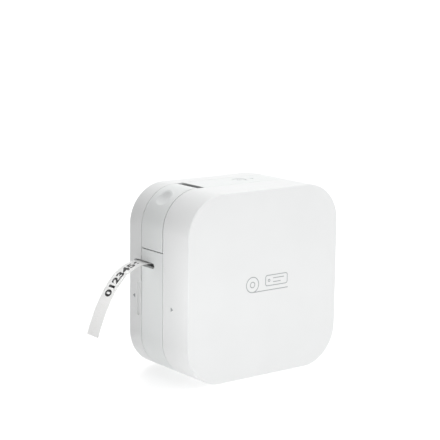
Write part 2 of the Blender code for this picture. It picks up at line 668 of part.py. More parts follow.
def make_blade_works(looks):
    """The carriage that the lever pushes down, its blade and spring, and the anvil under the tape."""
    front, rear = BAY_Y + 2 * MM, CASSETTE_REAR - 1 * MM
    carriage = box("cutter_carriage", (CARRIAGE[0], front, CARRIAGE_FOOT), (CARRIAGE[1], rear, CARRIAGE_TOP),
                   looks["grey"])
    head_rear = MID_WALL_Y - GAP
    tongue_z = (CARRIAGE_FOOT + 3 * MM, CARRIAGE_FOOT + 14 * MM)
    join(
        carriage,
        box("tab", (CARRIAGE[1] - 1 * MM, TAPE_Y - 3.5 * MM, TAB_Z),
            (TAB_END, TAPE_Y + 3.5 * MM, TAB_Z + TAB_THICK)),
        box("tongue", (BLADE_X - 0.9 * MM, head_rear - 1 * MM, tongue_z[0]),
            (BLADE_X + 0.9 * MM, front + 1 * MM, tongue_z[1])),
        box("tongue_head", (CARRIAGE[0] + 0.1 * MM, head_rear - 1.5 * MM, tongue_z[0] + 0.1 * MM),
            (CARRIAGE[1] - 0.1 * MM, head_rear, tongue_z[1] - 0.1 * MM)),
    )
    half = BLADE_THICK / 2
    tip = TAPE_Z + TAPE_THICK / 2 + GAP + BLADE_DROP
    top = CARRIAGE_FOOT + 4 * MM
    cut(carriage, box("blade_slot", (BLADE_X - half - GAP, front - 1 * MM, CARRIAGE_FOOT - 1 * MM),
                      (BLADE_X + half + GAP, rear + 1 * MM, top + GAP)))
    blade = [(BLADE_X - half, top), (BLADE_X - half, tip + 0.8 * MM), (BLADE_X, tip),
             (BLADE_X + half, tip + 0.8 * MM), (BLADE_X + half, top)]
    prism("cutter_blade", [blade], "Y", front + 0.3 * MM, rear - 0.3 * MM, looks["steel"])
    coil("cutter_spring", (SPRING_X, TAPE_Y), CUTTER_SPRING, 1.75 * MM, 0.25 * MM, 5, looks["steel"])
    anvil_top = TAPE_Z - TAPE_THICK / 2 - GAP
    box("cutter_anvil", (BLADE_X - 1.8 * MM, BAY_Y + GAP, TAPE_Z - 5.4 * MM),
        (BLADE_X + 1.7 * MM, rear, anvil_top),
        looks["steel"], bevel=0.2 * MM)
    rod("lever_pin", "Y", PIVOT, EARS_Y[0][0] - 0.3 * MM, LUGS_Y[1][1] + 0.2 * MM, PIN_RADIUS, looks["steel"])


def coil(name, center, reach, radius, wire, turns, look):
    """A compression spring along Z, with a closed turn at each end."""
    low, high = reach[0] + wire, reach[1] - wire
    per_turn = 8
    count = turns * per_turn
    curve = bpy.data.curves.new(name, "CURVE")
    curve.dimensions = "3D"
    curve.bevel_depth = wire
    curve.bevel_resolution = 2
    curve.use_fill_caps = True
    spline = curve.splines.new("POLY")
    spline.points.add(count)
    closed = 2.3 * wire / (high - low)  # rise of each end turn
    for i, point in enumerate(spline.points):
        turn = i / per_turn
        if turn <= 1:
            rise = closed * turn
        elif turn >= turns - 1:
            rise = 1 - closed * (turns - turn)
        else:
            rise = closed + (1 - 2 * closed) * (turn - 1) / (turns - 2)
        angle = 2 * math.pi * turn
        point.co = (radius * math.cos(angle), radius * math.sin(angle), low + (high - low) * rise, 1)
    obj = bpy.data.objects.new(name, curve)
    obj.location = (center[0], center[1], 0)
    curve.materials.append(look)
    parts.objects.link(obj)


# Print works

def make_print_head(looks):
    foot = TAPE_Z - 11.9 * MM
    shelf = TAPE_Z - 3.1 * MM
    reach = CASSETTE_REAR - 1.5 * MM
    outline = [(BAY_Y + GAP, foot), (BAY_Y + GAP + 2 * MM, foot), (BAY_Y + GAP + 2 * MM, shelf - 3.5 * MM),
               (reach, shelf - 3.5 * MM), (reach, shelf), (BAY_Y + GAP, shelf)]
    prism("heat_sink", [outline], "X", HEAD_X - 7 * MM, HEAD_X + 11 * MM, looks["aluminium"])
    top = TAPE_Z - TAPE_THICK / 2 - GAP
    low = shelf + GAP
    ridge = [(HEAD_X - 6 * MM, low), (HEAD_X + 10 * MM, low), (HEAD_X + 10 * MM, top - 0.65 * MM),
             (HEAD_X + 1.5 * MM, top - 0.65 * MM), (HEAD_X, top), (HEAD_X - 1.5 * MM, top - 0.65 * MM),
             (HEAD_X - 6 * MM, top - 0.65 * MM)]
    prism("print_head", [ridge], "Y", BAY_Y + 2 * MM, reach, looks["ceramic"])
    cable_y = (BAY_Y + CASSETTE_FRONT) / 2
    bend = 1 * MM
    corner = arc((CABLE_X - bend, cable_y - bend), bend, 90, 0, 5)
    path = [(HEAD_X + 11.5 * MM, cable_y)] + corner + [(CABLE_X, PCB_REAR + GAP)]
    prism("head_cable", [ribbon(path, 0.25 * MM)], "Z", *CABLE_Z, looks["amber"])


def make_roller_arm(looks):
    front, rear = BAY_Y + 1.2 * MM, CASSETTE_REAR - 0.4 * MM
    bridge_low, bridge_top = ARM_BRIDGE
    pinch_x, platen_x = PINCH_AT[0], PLATEN_AT[0]
    foot = PINCH_AT[1] - 2.4 * MM
    waist = PINCH_AT[1] + 3.4 * MM
    outline = [(pinch_x - 3 * MM, bridge_top), (pinch_x - 3 * MM, foot), (pinch_x + 3 * MM, foot),
               (pinch_x + 3 * MM, waist), (platen_x - 3 * MM, waist), (platen_x - 3 * MM, foot),
               (platen_x + 3 * MM, foot), (platen_x + 3 * MM, waist), (ARM_PIVOT[0] - 4 * MM, waist)]
    outline += arc(ARM_PIVOT, 3.2 * MM, -110, 90, 8)
    origin = (ARM_PIVOT[0], 0, ARM_PIVOT[1])
    arm = prism("roller_arm", [outline + [(ARM_PIVOT[0] - 4 * MM, bridge_top)]], "Y", front, rear,
                looks["grey"], origin)
    cut(
        arm,
        box("arm_hollow", (pinch_x - 6 * MM, front + 1.2 * MM, foot - 3 * MM),
            (ARM_PIVOT[0] + 9 * MM, rear - 1.2 * MM, bridge_low)),
        rod("arm_bore", "Y", ARM_PIVOT, front - 1 * MM, rear + 1 * MM, SHAFT + SLIP),
        rod("pinch_bores", "Y", PINCH_AT, front - 1 * MM, rear + 1 * MM, 1 * MM + SLIP),
        rod("platen_bores", "Y", PLATEN_AT, front - 1 * MM, rear + 1 * MM, 1.2 * MM + SLIP),
    )
    # The exact solver leaves the arm open where its bores cross the hollow's thin cheeks.
    for modifier in arm.modifiers:
        modifier.solver = "MANIFOLD"
    rod("roller_arm_pin", "Y", ARM_PIVOT, BAY_Y + GAP, rear + 1.2 * MM, SHAFT, looks["steel"])
    coil("roller_arm_spring", (ARM_SPRING_X, TAPE_Y), ARM_SPRING, 2.4 * MM, 0.3 * MM, 5, looks["steel"])
    inner_front, inner_rear = front + 1.6 * MM, rear - 1.6 * MM
    stub_front, stub_rear = front - 0.2 * MM, rear + 0.2 * MM
    turned("pinch_roller", "Y", PINCH_AT, [
        (0, stub_rear), (1 * MM, stub_rear), (1 * MM, inner_rear), (PINCH - 0.3 * MM, inner_rear),
        (PINCH, inner_rear - 0.3 * MM), (PINCH, inner_front + 0.3 * MM), (PINCH - 0.3 * MM, inner_front),
        (1 * MM, inner_front), (1 * MM, stub_front), (0, stub_front)], looks["rubber"])
    turned("platen_shaft", "Y", PLATEN_AT, [
        (0, stub_rear), (1.2 * MM, stub_rear), (1.2 * MM, stub_front), (0, stub_front)], looks["steel"],
        sides=SMALL_SIDES)
    turned("platen_roller", "Y", PLATEN_AT, [
        (PLATEN - 0.4 * MM, inner_rear), (PLATEN, inner_rear - 0.4 * MM), (PLATEN, inner_front + 0.4 * MM),
        (PLATEN - 0.4 * MM, inner_front), (1.2 * MM + SLIP, inner_front), (1.2 * MM + SLIP, inner_rear)],
        looks["rubber"], closed=True)


# Cassette

def cassette_outline(inset):
    """The case from the rear: a head notch at the top, and a taller arm that the tape comes out of."""
    left, right = CASSETTE_LEFT + inset, CASSETTE_RIGHT - inset
    low, top, arm = CASSETTE_FOOT + inset, CASSETTE_TOP - inset, ARM_TOP - inset
    notch = (NOTCH[0] - inset, NOTCH[1] + inset)
    floor = NOTCH_Z - inset
    radius = 3 * MM - inset
    points = arc((left + radius, low + radius), radius, 180, 270, 4)
    points += arc((right - radius, low + radius), radius, 270, 360, 4)
    points += arc((right - radius, arm - radius), radius, 0, 90, 4)
    points += [(notch[1], arm), (notch[1], floor), (notch[0], floor), (notch[0], top)]
    points += arc((left + radius, top - radius), radius, 90, 180, 4)
    return points


def make_cassette(looks):
    middle = (CASSETTE_FRONT + CASSETTE_REAR) / 2
    wall = CASSETTE_WALL
    case = prism("cassette_case", [cassette_outline(0)], "Y", CASSETTE_FRONT, middle - SLIP, looks["smoke"])
    lid = prism("cassette_lid", [cassette_outline(0)], "Y", middle + SLIP, CASSETTE_REAR, looks["smoke"])
    cut(case, prism("case_hollow", [cassette_outline(wall)], "Y", CASSETTE_FRONT + wall, middle + 2 * MM))
    cut(lid, prism("lid_hollow", [cassette_outline(wall)], "Y", middle - 2 * MM, CASSETTE_REAR - wall))
    hub_start = CASSETTE_FRONT + wall / 2
    hub_end = TAPE_Y - 1 * MM
    join(case, rod("roll_hub", "Y", ROLL_AT, hub_start, hub_end, 4.6 * MM, sides=ROUND_SIDES))
    join(case, rod("supply_hub", "Y", SUPPLY, hub_start, hub_end, 1.8 * MM))
    for i, (shell, low, high) in enumerate(((case, CASSETTE_FRONT - 1 * MM, CASSETTE_FRONT + 2 * MM),
                                            (lid, CASSETTE_REAR - 2 * MM, CASSETTE_REAR + 1 * MM))):
        cut(
            shell,
            rod(f"feed_hole_{i}", "Y", FEED, low, high, 3 * MM),
            rod(f"takeup_hole_{i}", "Y", TAKEUP, low, high, 3 * MM),
        )
    hollows = ((case, CASSETTE_FRONT + wall, middle + 1 * MM), (lid, middle - 1 * MM, CASSETTE_REAR - wall))
    for shell, low, high in hollows:
        cut(shell, box(shell.name + "_roller_window", (FEED[0] - FEED_ROLLER - 0.6 * MM, low, FEED[1]),
                       (FEED[0] + FEED_ROLLER + 0.6 * MM, high, CASSETTE_TOP + 1 * MM)))
    cut(lid, rod("lid_sight", "Y", ROLL_AT, CASSETTE_REAR - 2 * MM, CASSETTE_REAR + 1 * MM, 6.5 * MM,
                 sides=ROUND_SIDES))
    front, rear = TAPE_Y - TAPE_WIDTH / 2, TAPE_Y + TAPE_WIDTH / 2
    spool("tape_roll", ROLL_AT, ROLL, 5 * MM, front, rear, looks["tape"])
    spool("ribbon_supply_spool", SUPPLY, RIBBON, 2.1 * MM, front, rear, looks["ribbon"])
    spool("ribbon_takeup_spool", TAKEUP, RIBBON, 2.3 * MM, front, rear, looks["ribbon"])
    spool("feed_roller", FEED, FEED_ROLLER, 2.3 * MM, front, rear, looks["rubber"])
    make_label_strip(looks["tape"])


def spool(name, center, radius, bore, front, rear, look):
    section = [(radius, rear), (radius, front), (bore, front), (bore, rear)]
    turned(name, "Y", center, section, look, closed=True)


def label_path():
    """Straight over the head and rollers, out through the slot, then a drooping curve."""
    start = (LEFT, TAPE_Z)
    pull = (LEFT - 17.5 * MM, TAPE_Z + 2.4 * MM)
    bend = (LEFT - 29.5 * MM, TAPE_Z - 17.4 * MM)
    end = (LEFT - 37 * MM, TAPE_Z - 40.2 * MM)
    count = 20
    points = [(NOTCH[1] - 1 * MM, TAPE_Z)]
    for i in range(count + 1):
        t = i / count
        shares = ((1 - t) ** 3, 3 * t * (1 - t) ** 2, 3 * t * t * (1 - t), t ** 3)
        points.append(tuple(sum(w * p[k] for w, p in zip(shares, (start, pull, bend, end))) for k in (0, 1)))
    return points


def make_label_strip(look):
    outline = ribbon(label_path(), TAPE_THICK)
    prism("label_strip", [outline], "Y", TAPE_Y - TAPE_WIDTH / 2, TAPE_Y + TAPE_WIDTH / 2, look)


# Drive

def make_gears(looks):
    """Motor pinion, compound gear, idler, feed gear and take-up gear, in mesh at rest."""
    feed_phase = 0
    idler_phase = meshed_phase(FEED_TEETH, feed_phase, IDLER_TEETH, IDLER_DIRECTION)
    takeup_phase = meshed_phase(FEED_TEETH, feed_phase, FEED_TEETH, TAKEUP_DIRECTION)
    small_phase = meshed_phase(IDLER_TEETH, idler_phase, SMALL_TEETH, LARGE_DIRECTION)
    pinion_phase = meshed_phase(LARGE_TEETH, 0, PINION_TEETH, MOTOR_DIRECTION)
    first_layer, second_layer = (GEAR_FRONT, GEAR_REAR), (LARGE_FRONT, LARGE_REAR)
    pin_bore = 1 * MM + SLIP
    gear("feed_gear", FEED, FEED_TEETH, feed_phase, SHAFT + SLIP, first_layer, looks["gear"])
    gear("takeup_gear", TAKEUP, FEED_TEETH, takeup_phase, SHAFT + SLIP, first_layer, looks["gear"])
    gear("idler_gear", IDLER, IDLER_TEETH, idler_phase, pin_bore, first_layer, looks["gear"])
    gear("motor_pinion", MOTOR, PINION_TEETH, pinion_phase, pin_bore, second_layer, looks["brass"])
    large = gear("reduction_gear", LARGE, LARGE_TEETH, 0, pin_bore, second_layer, looks["gear"])
    small = [gear_outline(LARGE, SMALL_TEETH, small_phase), circle(LARGE, pin_bore)]
    join(large, prism("reduction_small", small, "Y", LARGE_REAR - 1 * MM, GEAR_REAR))
    wide = 2 * MM
    shafts = (("feed_shaft", FEED, TAPE_Y + 5 * MM), ("takeup_shaft", TAKEUP, TAPE_Y + 4 * MM))
    for name, center, end in shafts:
        turned(name, "Y", center, [
            (0, end), (wide - 0.4 * MM, end), (wide, end - 0.4 * MM), (wide, BAY_Y + GAP),
            (SHAFT, BAY_Y + GAP), (SHAFT, GEAR_FRONT - 0.4 * MM), (0, GEAR_FRONT - 0.4 * MM)], looks["steel"],
            sides=SMALL_SIDES)
    plate = rounded((IDLER[0] - 6 * MM, IDLER[1] - 8 * MM),
                    (MOTOR[0] + MOTOR_RADIUS + 1.5 * MM, MOTOR[1] + 9 * MM), (4 * MM,) * 4, 4)
    base = prism("gear_plate", [plate, circle(MOTOR, 3.2 * MM)], "Y", *PLATE, looks["steel"])
    for i, center in enumerate((IDLER, LARGE)):
        join(base, rod(f"gear_pin_{i}", "Y", center, PLATE[0] + 0.2 * MM, MID_WALL_Y - GAP, 1 * MM))


def gear(name, center, teeth, phase, bore, layer, look):
    origin = (center[0], 0, center[1])
    outlines = [gear_outline(center, teeth, phase), circle(center, bore)]
    return prism(name, outlines, "Y", layer[0], layer[1], look, origin)


def make_motor(looks):
    face = MOTOR_FRONT_FACE
    back = face - MOTOR_LENGTH
    turned("motor", "Y", MOTOR, [
        (0, LARGE_REAR + 0.4 * MM), (1 * MM, LARGE_REAR + 0.4 * MM), (1 * MM, face + 0.2 * MM),
        (2.5 * MM, face + 0.2 * MM), (2.5 * MM, face - 0.2 * MM),
        (MOTOR_RADIUS - 0.6 * MM, face - 0.2 * MM), (MOTOR_RADIUS, face - 0.8 * MM),
        (MOTOR_RADIUS, back + 1 * MM), (MOTOR_RADIUS - 1 * MM, back), (0, back)], looks["steel"])


# Electronics and power

def make_boards(looks):
    inner = FRAME_INSET + FRAME_WALL
    low, high = (LEFT + inner + 7.5 * MM, PCB_FOOT), (RIGHT - inner - 2.5 * MM, HEIGHT - inner - 5 * MM)
    outline = rounded(low, high, (1 * MM, 1 * MM, 6 * MM, 6 * MM), 3)
    main_board = prism("main_board", [outline], "Y", PCB_REAR - PCB_THICK, PCB_REAR, looks["board"])
    for place_at in SCREWS[:2]:
        cut(main_board, rod("board_hole", "Y", place_at, PCB_REAR - PCB_THICK - 1 * MM, PCB_REAR + 1 * MM,
                            POST_RADIUS + 0.5 * MM))
    box("radio_module", (low[0] + 4 * MM, PCB_REAR + GAP, PCB_FOOT + 5 * MM),
        (low[0] + 19 * MM, PCB_REAR + GAP + 2 * MM, PCB_FOOT + 23 * MM), looks["steel"], bevel=0.3 * MM)
    board = box("switch_board", (BUTTON[0] - 6 * MM, BAY_Y + GAP, BOARD_Z),
                (LIGHT[0] + 4 * MM, BUTTON[1] + 5 * MM, BOARD_Z + 1.6 * MM), looks["board"])
    switch_top = BOARD_Z + 3 * MM
    join(
        board,
        box("switch_case", (BUTTON[0] - 3 * MM, BUTTON[1] - 1.9 * MM, BOARD_Z + 1 * MM),
            (BUTTON[0] + 3 * MM, BUTTON[1] + 3 * MM, switch_top - 0.6 * MM)),
        rod("switch_plunger", "Z", BUTTON, switch_top - 1 * MM, switch_top, 1.6 * MM),
    )
    cap_top = HEIGHT - 0.15 * MM
    seat = HEIGHT - 2 * MM - GAP
    stem_end = switch_top + BUTTON_TRAVEL + GAP / 2
    turned("power_button", "Z", BUTTON, [
        (0, cap_top), (BUTTON_RADIUS - 0.4 * MM, cap_top), (BUTTON_RADIUS, cap_top - 0.4 * MM),
        (BUTTON_RADIUS, seat), (BUTTON_RADIUS + 1 * MM, seat), (BUTTON_RADIUS + 1 * MM, seat - 1 * MM),
        (1.5 * MM, seat - 1 * MM), (1.5 * MM, stem_end), (0, stem_end)], looks["white"])
    turned("status_light", "Z", LIGHT, [
        (0, cap_top), (0.8 * MM, cap_top), (1 * MM, cap_top - 0.2 * MM), (1 * MM, BOARD_Z + 1.6 * MM + GAP),
        (0, BOARD_Z + 1.6 * MM + GAP)], looks["clear"], sides=SMALL_SIDES)


def make_jack(looks):
    inner = RIGHT - WALL - GAP - LIP - GAP
    low = (inner - 9 * MM, JACK[0] - 4.2 * MM, JACK[1] - 4.5 * MM)
    high = (inner, JACK[0] + 4.8 * MM, JACK[1] + 4.5 * MM)
    jack = box("power_jack", low, high, looks["black"], bevel=0.3 * MM)
    join(jack, rod("jack_barrel", "X", JACK, inner - 1 * MM, RIGHT - 0.4 * MM, JACK_BORE + 1 * MM,
                   sides=ROUND_SIDES))
    cut(jack, rod("jack_mouth", "X", JACK, inner - 6 * MM, RIGHT + 1 * MM, JACK_BORE, sides=ROUND_SIDES))
    join(jack, rod("jack_pin", "X", JACK, inner - 7 * MM, RIGHT - 1.5 * MM, 0.8 * MM))


def make_batteries(looks):
    """Two columns of three cells, end to end through contacts on the middle partition."""
    nub = 0.8 * MM
    for row, z in enumerate(BATTERY_ROWS):
        for column, side in enumerate((-1, 1)):
            outer, inner = side * BATTERY_END, side * BATTERY_GAP
            start, end = min(outer, inner), max(outer, inner)
            turned(f"battery_{2 * row + column + 1}", "X", (BATTERY_Y, z), [
                (0, end), (1.9 * MM, end), (1.9 * MM, end - nub), (BATTERY_RADIUS, end - nub),
                (BATTERY_RADIUS, start), (0, start)], looks["battery"])
        make_middle_contact(row, z, looks["nickel"])
    make_end_contact("contact_left_pair", -1, BATTERY_ROWS[:2], looks["nickel"])
    make_end_contact("contact_left_single", -1, BATTERY_ROWS[2:], looks["nickel"])
    make_end_contact("contact_right_single", 1, BATTERY_ROWS[:1], looks["nickel"])
    make_end_contact("contact_right_pair", 1, BATTERY_ROWS[1:], looks["nickel"])


def make_middle_contact(row, z, look):
    """A strip folded over the partition's front edge, so that it touches the cells on both sides."""
    edge = BATTERY_Y - BATTERY_RADIUS * 0.6
    leaf, clear = 0.3 * MM, 0.75 * MM + 0.25 * MM
    deep = BATTERY_Y + 2.5 * MM
    outline = [(-clear - leaf, deep), (-clear - leaf, edge - GAP - leaf), (clear + leaf, edge - GAP - leaf),
               (clear + leaf, deep), (clear, deep), (clear, edge - GAP), (-clear, edge - GAP), (-clear, deep)]
    prism(f"contact_middle_{row + 1}", [outline], "Z", z - 2.5 * MM, z + 2.5 * MM, look)


def make_end_contact(name, side, rows, look):
    """A plate on the end rib with a sprung cone for each cell that it serves."""
    face = BATTERY_END + 1.8 * MM - GAP
    xs = sorted((side * face, side * (face - 0.4 * MM)))
    plate = box(name, (xs[0], BATTERY_Y - 3 * MM, min(rows) - 4 * MM),
                (xs[1], BATTERY_Y + 4 * MM, max(rows) + 4 * MM),
                look)
    for i, z in enumerate(rows):
        ends = sorted((side * (face - 0.2 * MM), side * (BATTERY_END + GAP)))
        cone = bmesh.new()
        wide, narrow = 2.6 * MM, 1.6 * MM
        radii = (wide, narrow) if side < 0 else (narrow, wide)
        bmesh.ops.create_cone(cone, cap_ends=True, segments=SMALL_SIDES, radius1=radii[0], radius2=radii[1],
                              depth=ends[1] - ends[0])
        bmesh.ops.translate(cone, vec=(BATTERY_Y, z, sum(ends) / 2), verts=cone.verts)
        bmesh.ops.transform(cone, matrix=TURNS["X"], verts=cone.verts)
        join(plate, place(from_bmesh(f"{name}_cone_{i}", cone)))


def make_screws(look):
    head = 1.6 * MM
    for i, place_at in enumerate(SCREWS):
        under = SCREW_SEAT_Y - GAP
        tip = under + SCREW_LENGTH
        shank = SCREW_HOLE - SLIP
        screw = turned(f"case_screw_{i + 1}", "Y", place_at, [
            (0, tip), (shank * 0.6, tip), (shank, tip - 1.2 * MM), (shank, under),
            (SCREW_HEAD_BORE - 0.3 * MM, under),
            (SCREW_HEAD_BORE - 0.3 * MM, under - head * 0.5), (SCREW_HEAD_BORE - 0.9 * MM, under - head),
            (0, under - head)], look, sides=SMALL_SIDES)
        recess = [box(f"recess_{i}_{turn}", (place_at[0] - w, under - head - 1 * MM, place_at[1] - h),
                      (place_at[0] + w, under - head + 0.7 * MM, place_at[1] + h))
                  for turn, (w, h) in enumerate(((1.1 * MM, 0.3 * MM), (0.3 * MM, 1.1 * MM)))]
        cut(screw, *recess)


# The whole label maker

def main():
    clear_scene()
    looks = {
        "white": plastic("white_abs", (0.86, 0.87, 0.87)),
        "grey": plastic("grey_pom", (0.35, 0.36, 0.37)),
        "black": plastic("black_nylon", (0.03, 0.03, 0.03)),
        "gear": plastic("natural_pom", (0.8, 0.78, 0.7)),
        "smoke": plastic("smoke_styrene", (0.25, 0.26, 0.28), 0.2),
        "tape": plastic("label_film", (0.9, 0.9, 0.9), 0.35),
        "ribbon": plastic("ink_ribbon", (0.04, 0.04, 0.05), 0.3),
        "rubber": plastic("silicone_rubber", (0.08, 0.08, 0.09), 0.8),
        "ceramic": plastic("head_ceramic", (0.55, 0.5, 0.42), 0.3),
        "clear": plastic("light_pipe", (0.85, 0.87, 0.88), 0.15),
        "board": plastic("circuit_board", (0.05, 0.22, 0.1), 0.4),
        "amber": plastic("polyimide_film", (0.6, 0.3, 0.06), 0.3),
        "battery": plastic("battery_sleeve", (0.2, 0.22, 0.25), 0.3),
        "steel": plastic("steel", (0.6, 0.6, 0.6), 0.3, 1.0),
        "aluminium": plastic("aluminium", (0.75, 0.76, 0.77), 0.4, 1.0),
        "brass": plastic("brass", (0.75, 0.55, 0.25), 0.3, 1.0),
        "nickel": plastic("nickel_plate", (0.7, 0.68, 0.63), 0.25, 1.0),
    }
    make_front_cover(looks["white"])
    make_rear_cover(looks["white"])
    make_chassis(looks["white"])
    make_front_frame(looks["white"])
    make_cutter_lever(looks["white"])
    make_blade_works(looks)
    make_print_head(looks)
    make_roller_arm(looks)
    make_cassette(looks)
    make_gears(looks)
    make_motor(looks)
    make_boards(looks)
    make_jack(looks)
    make_batteries(looks)
    make_screws(looks["steel"])


main()
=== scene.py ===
import json
import math

import bpy
from mathutils import Matrix, Vector

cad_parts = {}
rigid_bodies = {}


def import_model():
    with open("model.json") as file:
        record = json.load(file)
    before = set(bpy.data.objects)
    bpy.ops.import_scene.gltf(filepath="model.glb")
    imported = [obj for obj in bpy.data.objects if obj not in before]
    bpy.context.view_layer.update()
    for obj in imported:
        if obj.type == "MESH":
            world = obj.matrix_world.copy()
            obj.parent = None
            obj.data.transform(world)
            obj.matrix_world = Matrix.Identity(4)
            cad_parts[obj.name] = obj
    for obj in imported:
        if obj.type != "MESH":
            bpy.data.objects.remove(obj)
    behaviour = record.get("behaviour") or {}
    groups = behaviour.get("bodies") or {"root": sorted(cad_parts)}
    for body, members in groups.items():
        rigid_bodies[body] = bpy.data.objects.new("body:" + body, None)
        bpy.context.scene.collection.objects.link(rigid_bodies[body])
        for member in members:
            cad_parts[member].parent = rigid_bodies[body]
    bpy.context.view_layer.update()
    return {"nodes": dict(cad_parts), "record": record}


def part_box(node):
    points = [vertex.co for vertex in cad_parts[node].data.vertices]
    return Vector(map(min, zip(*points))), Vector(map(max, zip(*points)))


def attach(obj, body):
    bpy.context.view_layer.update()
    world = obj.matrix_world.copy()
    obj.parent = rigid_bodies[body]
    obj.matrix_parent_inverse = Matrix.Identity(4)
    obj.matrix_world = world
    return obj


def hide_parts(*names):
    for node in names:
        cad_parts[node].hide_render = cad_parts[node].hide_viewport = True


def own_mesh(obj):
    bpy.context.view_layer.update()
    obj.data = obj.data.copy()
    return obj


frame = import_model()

# The label maker's looks: smooth outer shells, a curled printed label and a real finish on each inner piece
mm = 0.001
print("frame loaded:", len(frame["nodes"]), "CAD nodes")

# Places that several pieces share, most of them read from the frame
coverLow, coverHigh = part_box("front_cover")
rearLow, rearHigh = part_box("rear_cover")
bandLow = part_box("chassis")[0]
leverLow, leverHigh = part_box("cutter_lever")
tapeLow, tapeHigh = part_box("label_strip")
buttonLow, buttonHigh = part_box("power_button")
bodyWidth = coverHigh.x - coverLow.x
bodyHeight = coverHigh.z - coverLow.z
cornerRadius = 24.5 * mm  # the four big corners of the body
cornerSteps = 10  # flats that the CAD puts in each quarter corner
shellWall = 2 * mm
tapeMiddle = (tapeLow.y + tapeHigh.y) / 2
tapeLevel = 69.4 * mm  # where the label runs flat, inside the body


# Small tools that every piece uses

def linear(hexColour):
    # sRGB hex to the linear colour that Blender's sockets take
    channels = [int(hexColour[i:i + 2], 16) / 255 for i in (1, 3, 5)]
    return [c / 12.92 if c <= 0.04045 else ((c + 0.055) / 1.055) ** 2.4 for c in channels] + [1]


def deselectAll():
    if bpy.context.mode != "OBJECT":
        bpy.ops.object.mode_set(mode="OBJECT")
    bpy.ops.object.select_all(action="DESELECT")


def makeActive(piece):
    deselectAll()
    piece.select_set(True)
    bpy.context.view_layer.objects.active = piece


def editMesh(piece, mode="VERT"):
    # opens the piece for editing with nothing selected
    makeActive(piece)
    bpy.ops.object.mode_set(mode="EDIT")
    bpy.ops.mesh.select_mode(type=mode)
    bpy.ops.mesh.select_all(action="DESELECT")
    bpy.ops.object.mode_set(mode="OBJECT")


def selectWhere(piece, kind, test):
    # selects edges or faces by where they are, and goes on in edit mode
    bpy.ops.object.mode_set(mode="OBJECT")
    mesh = piece.data
    for group in (mesh.vertices, mesh.edges, mesh.polygons):
        group.foreach_set("select", [False] * len(group))
    found = 0
    for item in getattr(mesh, kind):
        if kind == "edges":
            a, b = (mesh.vertices[v].co for v in item.vertices)
            item.select = test(a, b)
        else:
            item.select = test(item.center)
        found += item.select
    bpy.ops.object.mode_set(mode="EDIT")
    return found


def applyScale(piece):
    makeActive(piece)
    bpy.ops.object.transform_apply(location=True, rotation=True, scale=True)


def addBox(name, low, high):
    deselectAll()
    low, high = Vector(low), Vector(high)
    bpy.ops.mesh.primitive_cube_add(size=1, location=(low + high) / 2)
    piece = bpy.context.active_object
    piece.name = name
    piece.scale = high - low
    applyScale(piece)
    return piece


def addRod(name, start, end, radius, sides=48):
    deselectAll()
    start, end = Vector(start), Vector(end)
    along = end - start
    bpy.ops.mesh.primitive_cylinder_add(vertices=sides, radius=radius, depth=along.length,
                                        location=(start + end) / 2)
    piece = bpy.context.active_object
    piece.name = name
    piece.rotation_euler = along.to_track_quat("Z", "Y").to_euler()
    applyScale(piece)
    return piece


def applyModifier(piece, kind, **settings):
    makeActive(piece)
    modifier = piece.modifiers.new(kind.lower(), kind)
    for key, value in settings.items():
        setattr(modifier, key, value)
    bpy.ops.object.modifier_apply(modifier=modifier.name)


def combine(piece, other, operation):
    applyModifier(piece, "BOOLEAN", operation=operation, object=other, solver="EXACT")
    bpy.data.objects.remove(other, do_unlink=True)


def smoothen(piece, angle=32):
    makeActive(piece)
    bpy.ops.object.shade_smooth_by_angle(angle=math.radians(angle))
    applyModifier(piece, "WEIGHTED_NORMAL", keep_sharp=True, weight=80)


def finishPiece(piece, body, look, replaced=()):
    piece.data.materials.clear()
    piece.data.materials.append(look)
    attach(piece, body)
    if replaced:
        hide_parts(*replaced)
    return piece


# Materials

def addNode(look, kind, settings=None, **inputs):
    # adds one node: settings are its own fields, inputs are values or the sockets that feed it
    node = look.node_tree.nodes.new(kind)
    for key, value in (settings or {}).items():
        setattr(node, key, value)
    for key, value in inputs.items():
        isNumber = key[0] == "i" and key[1:].isdigit()  # i0 is the first input, for names that repeat
        socket = node.inputs[int(key[1:]) if isNumber else key.replace("_", " ")]
        if isinstance(value, bpy.types.NodeSocket):
            look.node_tree.links.new(value, socket)
        else:
            socket.default_value = value
    return node


def newLook(name, colour, roughness, ior=1.5, metallic=0.0):
    look = bpy.data.materials.new(name)
    look.use_nodes = True
    shader = look.node_tree.nodes["Principled BSDF"]
    shader.inputs["Base Color"].default_value = linear(colour)
    shader.inputs["Roughness"].default_value = roughness
    shader.inputs["Metallic"].default_value = metallic
    if metallic < 0.5:
        shader.inputs["IOR"].default_value = ior
    return look, shader


def connect(look, source, shader, socket):
    look.node_tree.links.new(source, shader.inputs[socket])


def ramp(look, value, *stops):
    # a colour ramp: each stop is (place, hex colour)
    node = addNode(look, "ShaderNodeValToRGB", Fac=value)
    elements = node.color_ramp.elements
    while len(elements) < len(stops):
        elements.new(0.5)
    for element, (place, colour) in zip(elements, stops):
        element.position = place
        element.color = linear(colour)
    return node.outputs["Color"]


def mapRange(look, value, low, high, toLow, toHigh):
    return addNode(look, "ShaderNodeMapRange", {"clamp": True}, i0=value, i1=low, i2=high, i3=toLow,
                   i4=toHigh).outputs[0]


def objectPlace(look, scale=(1, 1, 1), location=(0, 0, 0), rotation=(0, 0, 0)):
    # Object coordinates are metres in the frame, so a scale of 1/size gives one repeat per size
    where = addNode(look, "ShaderNodeTexCoord").outputs["Object"]
    return addNode(look, "ShaderNodeMapping", Vector=where, Scale=scale, Location=location,
                   Rotation=rotation).outputs["Vector"]


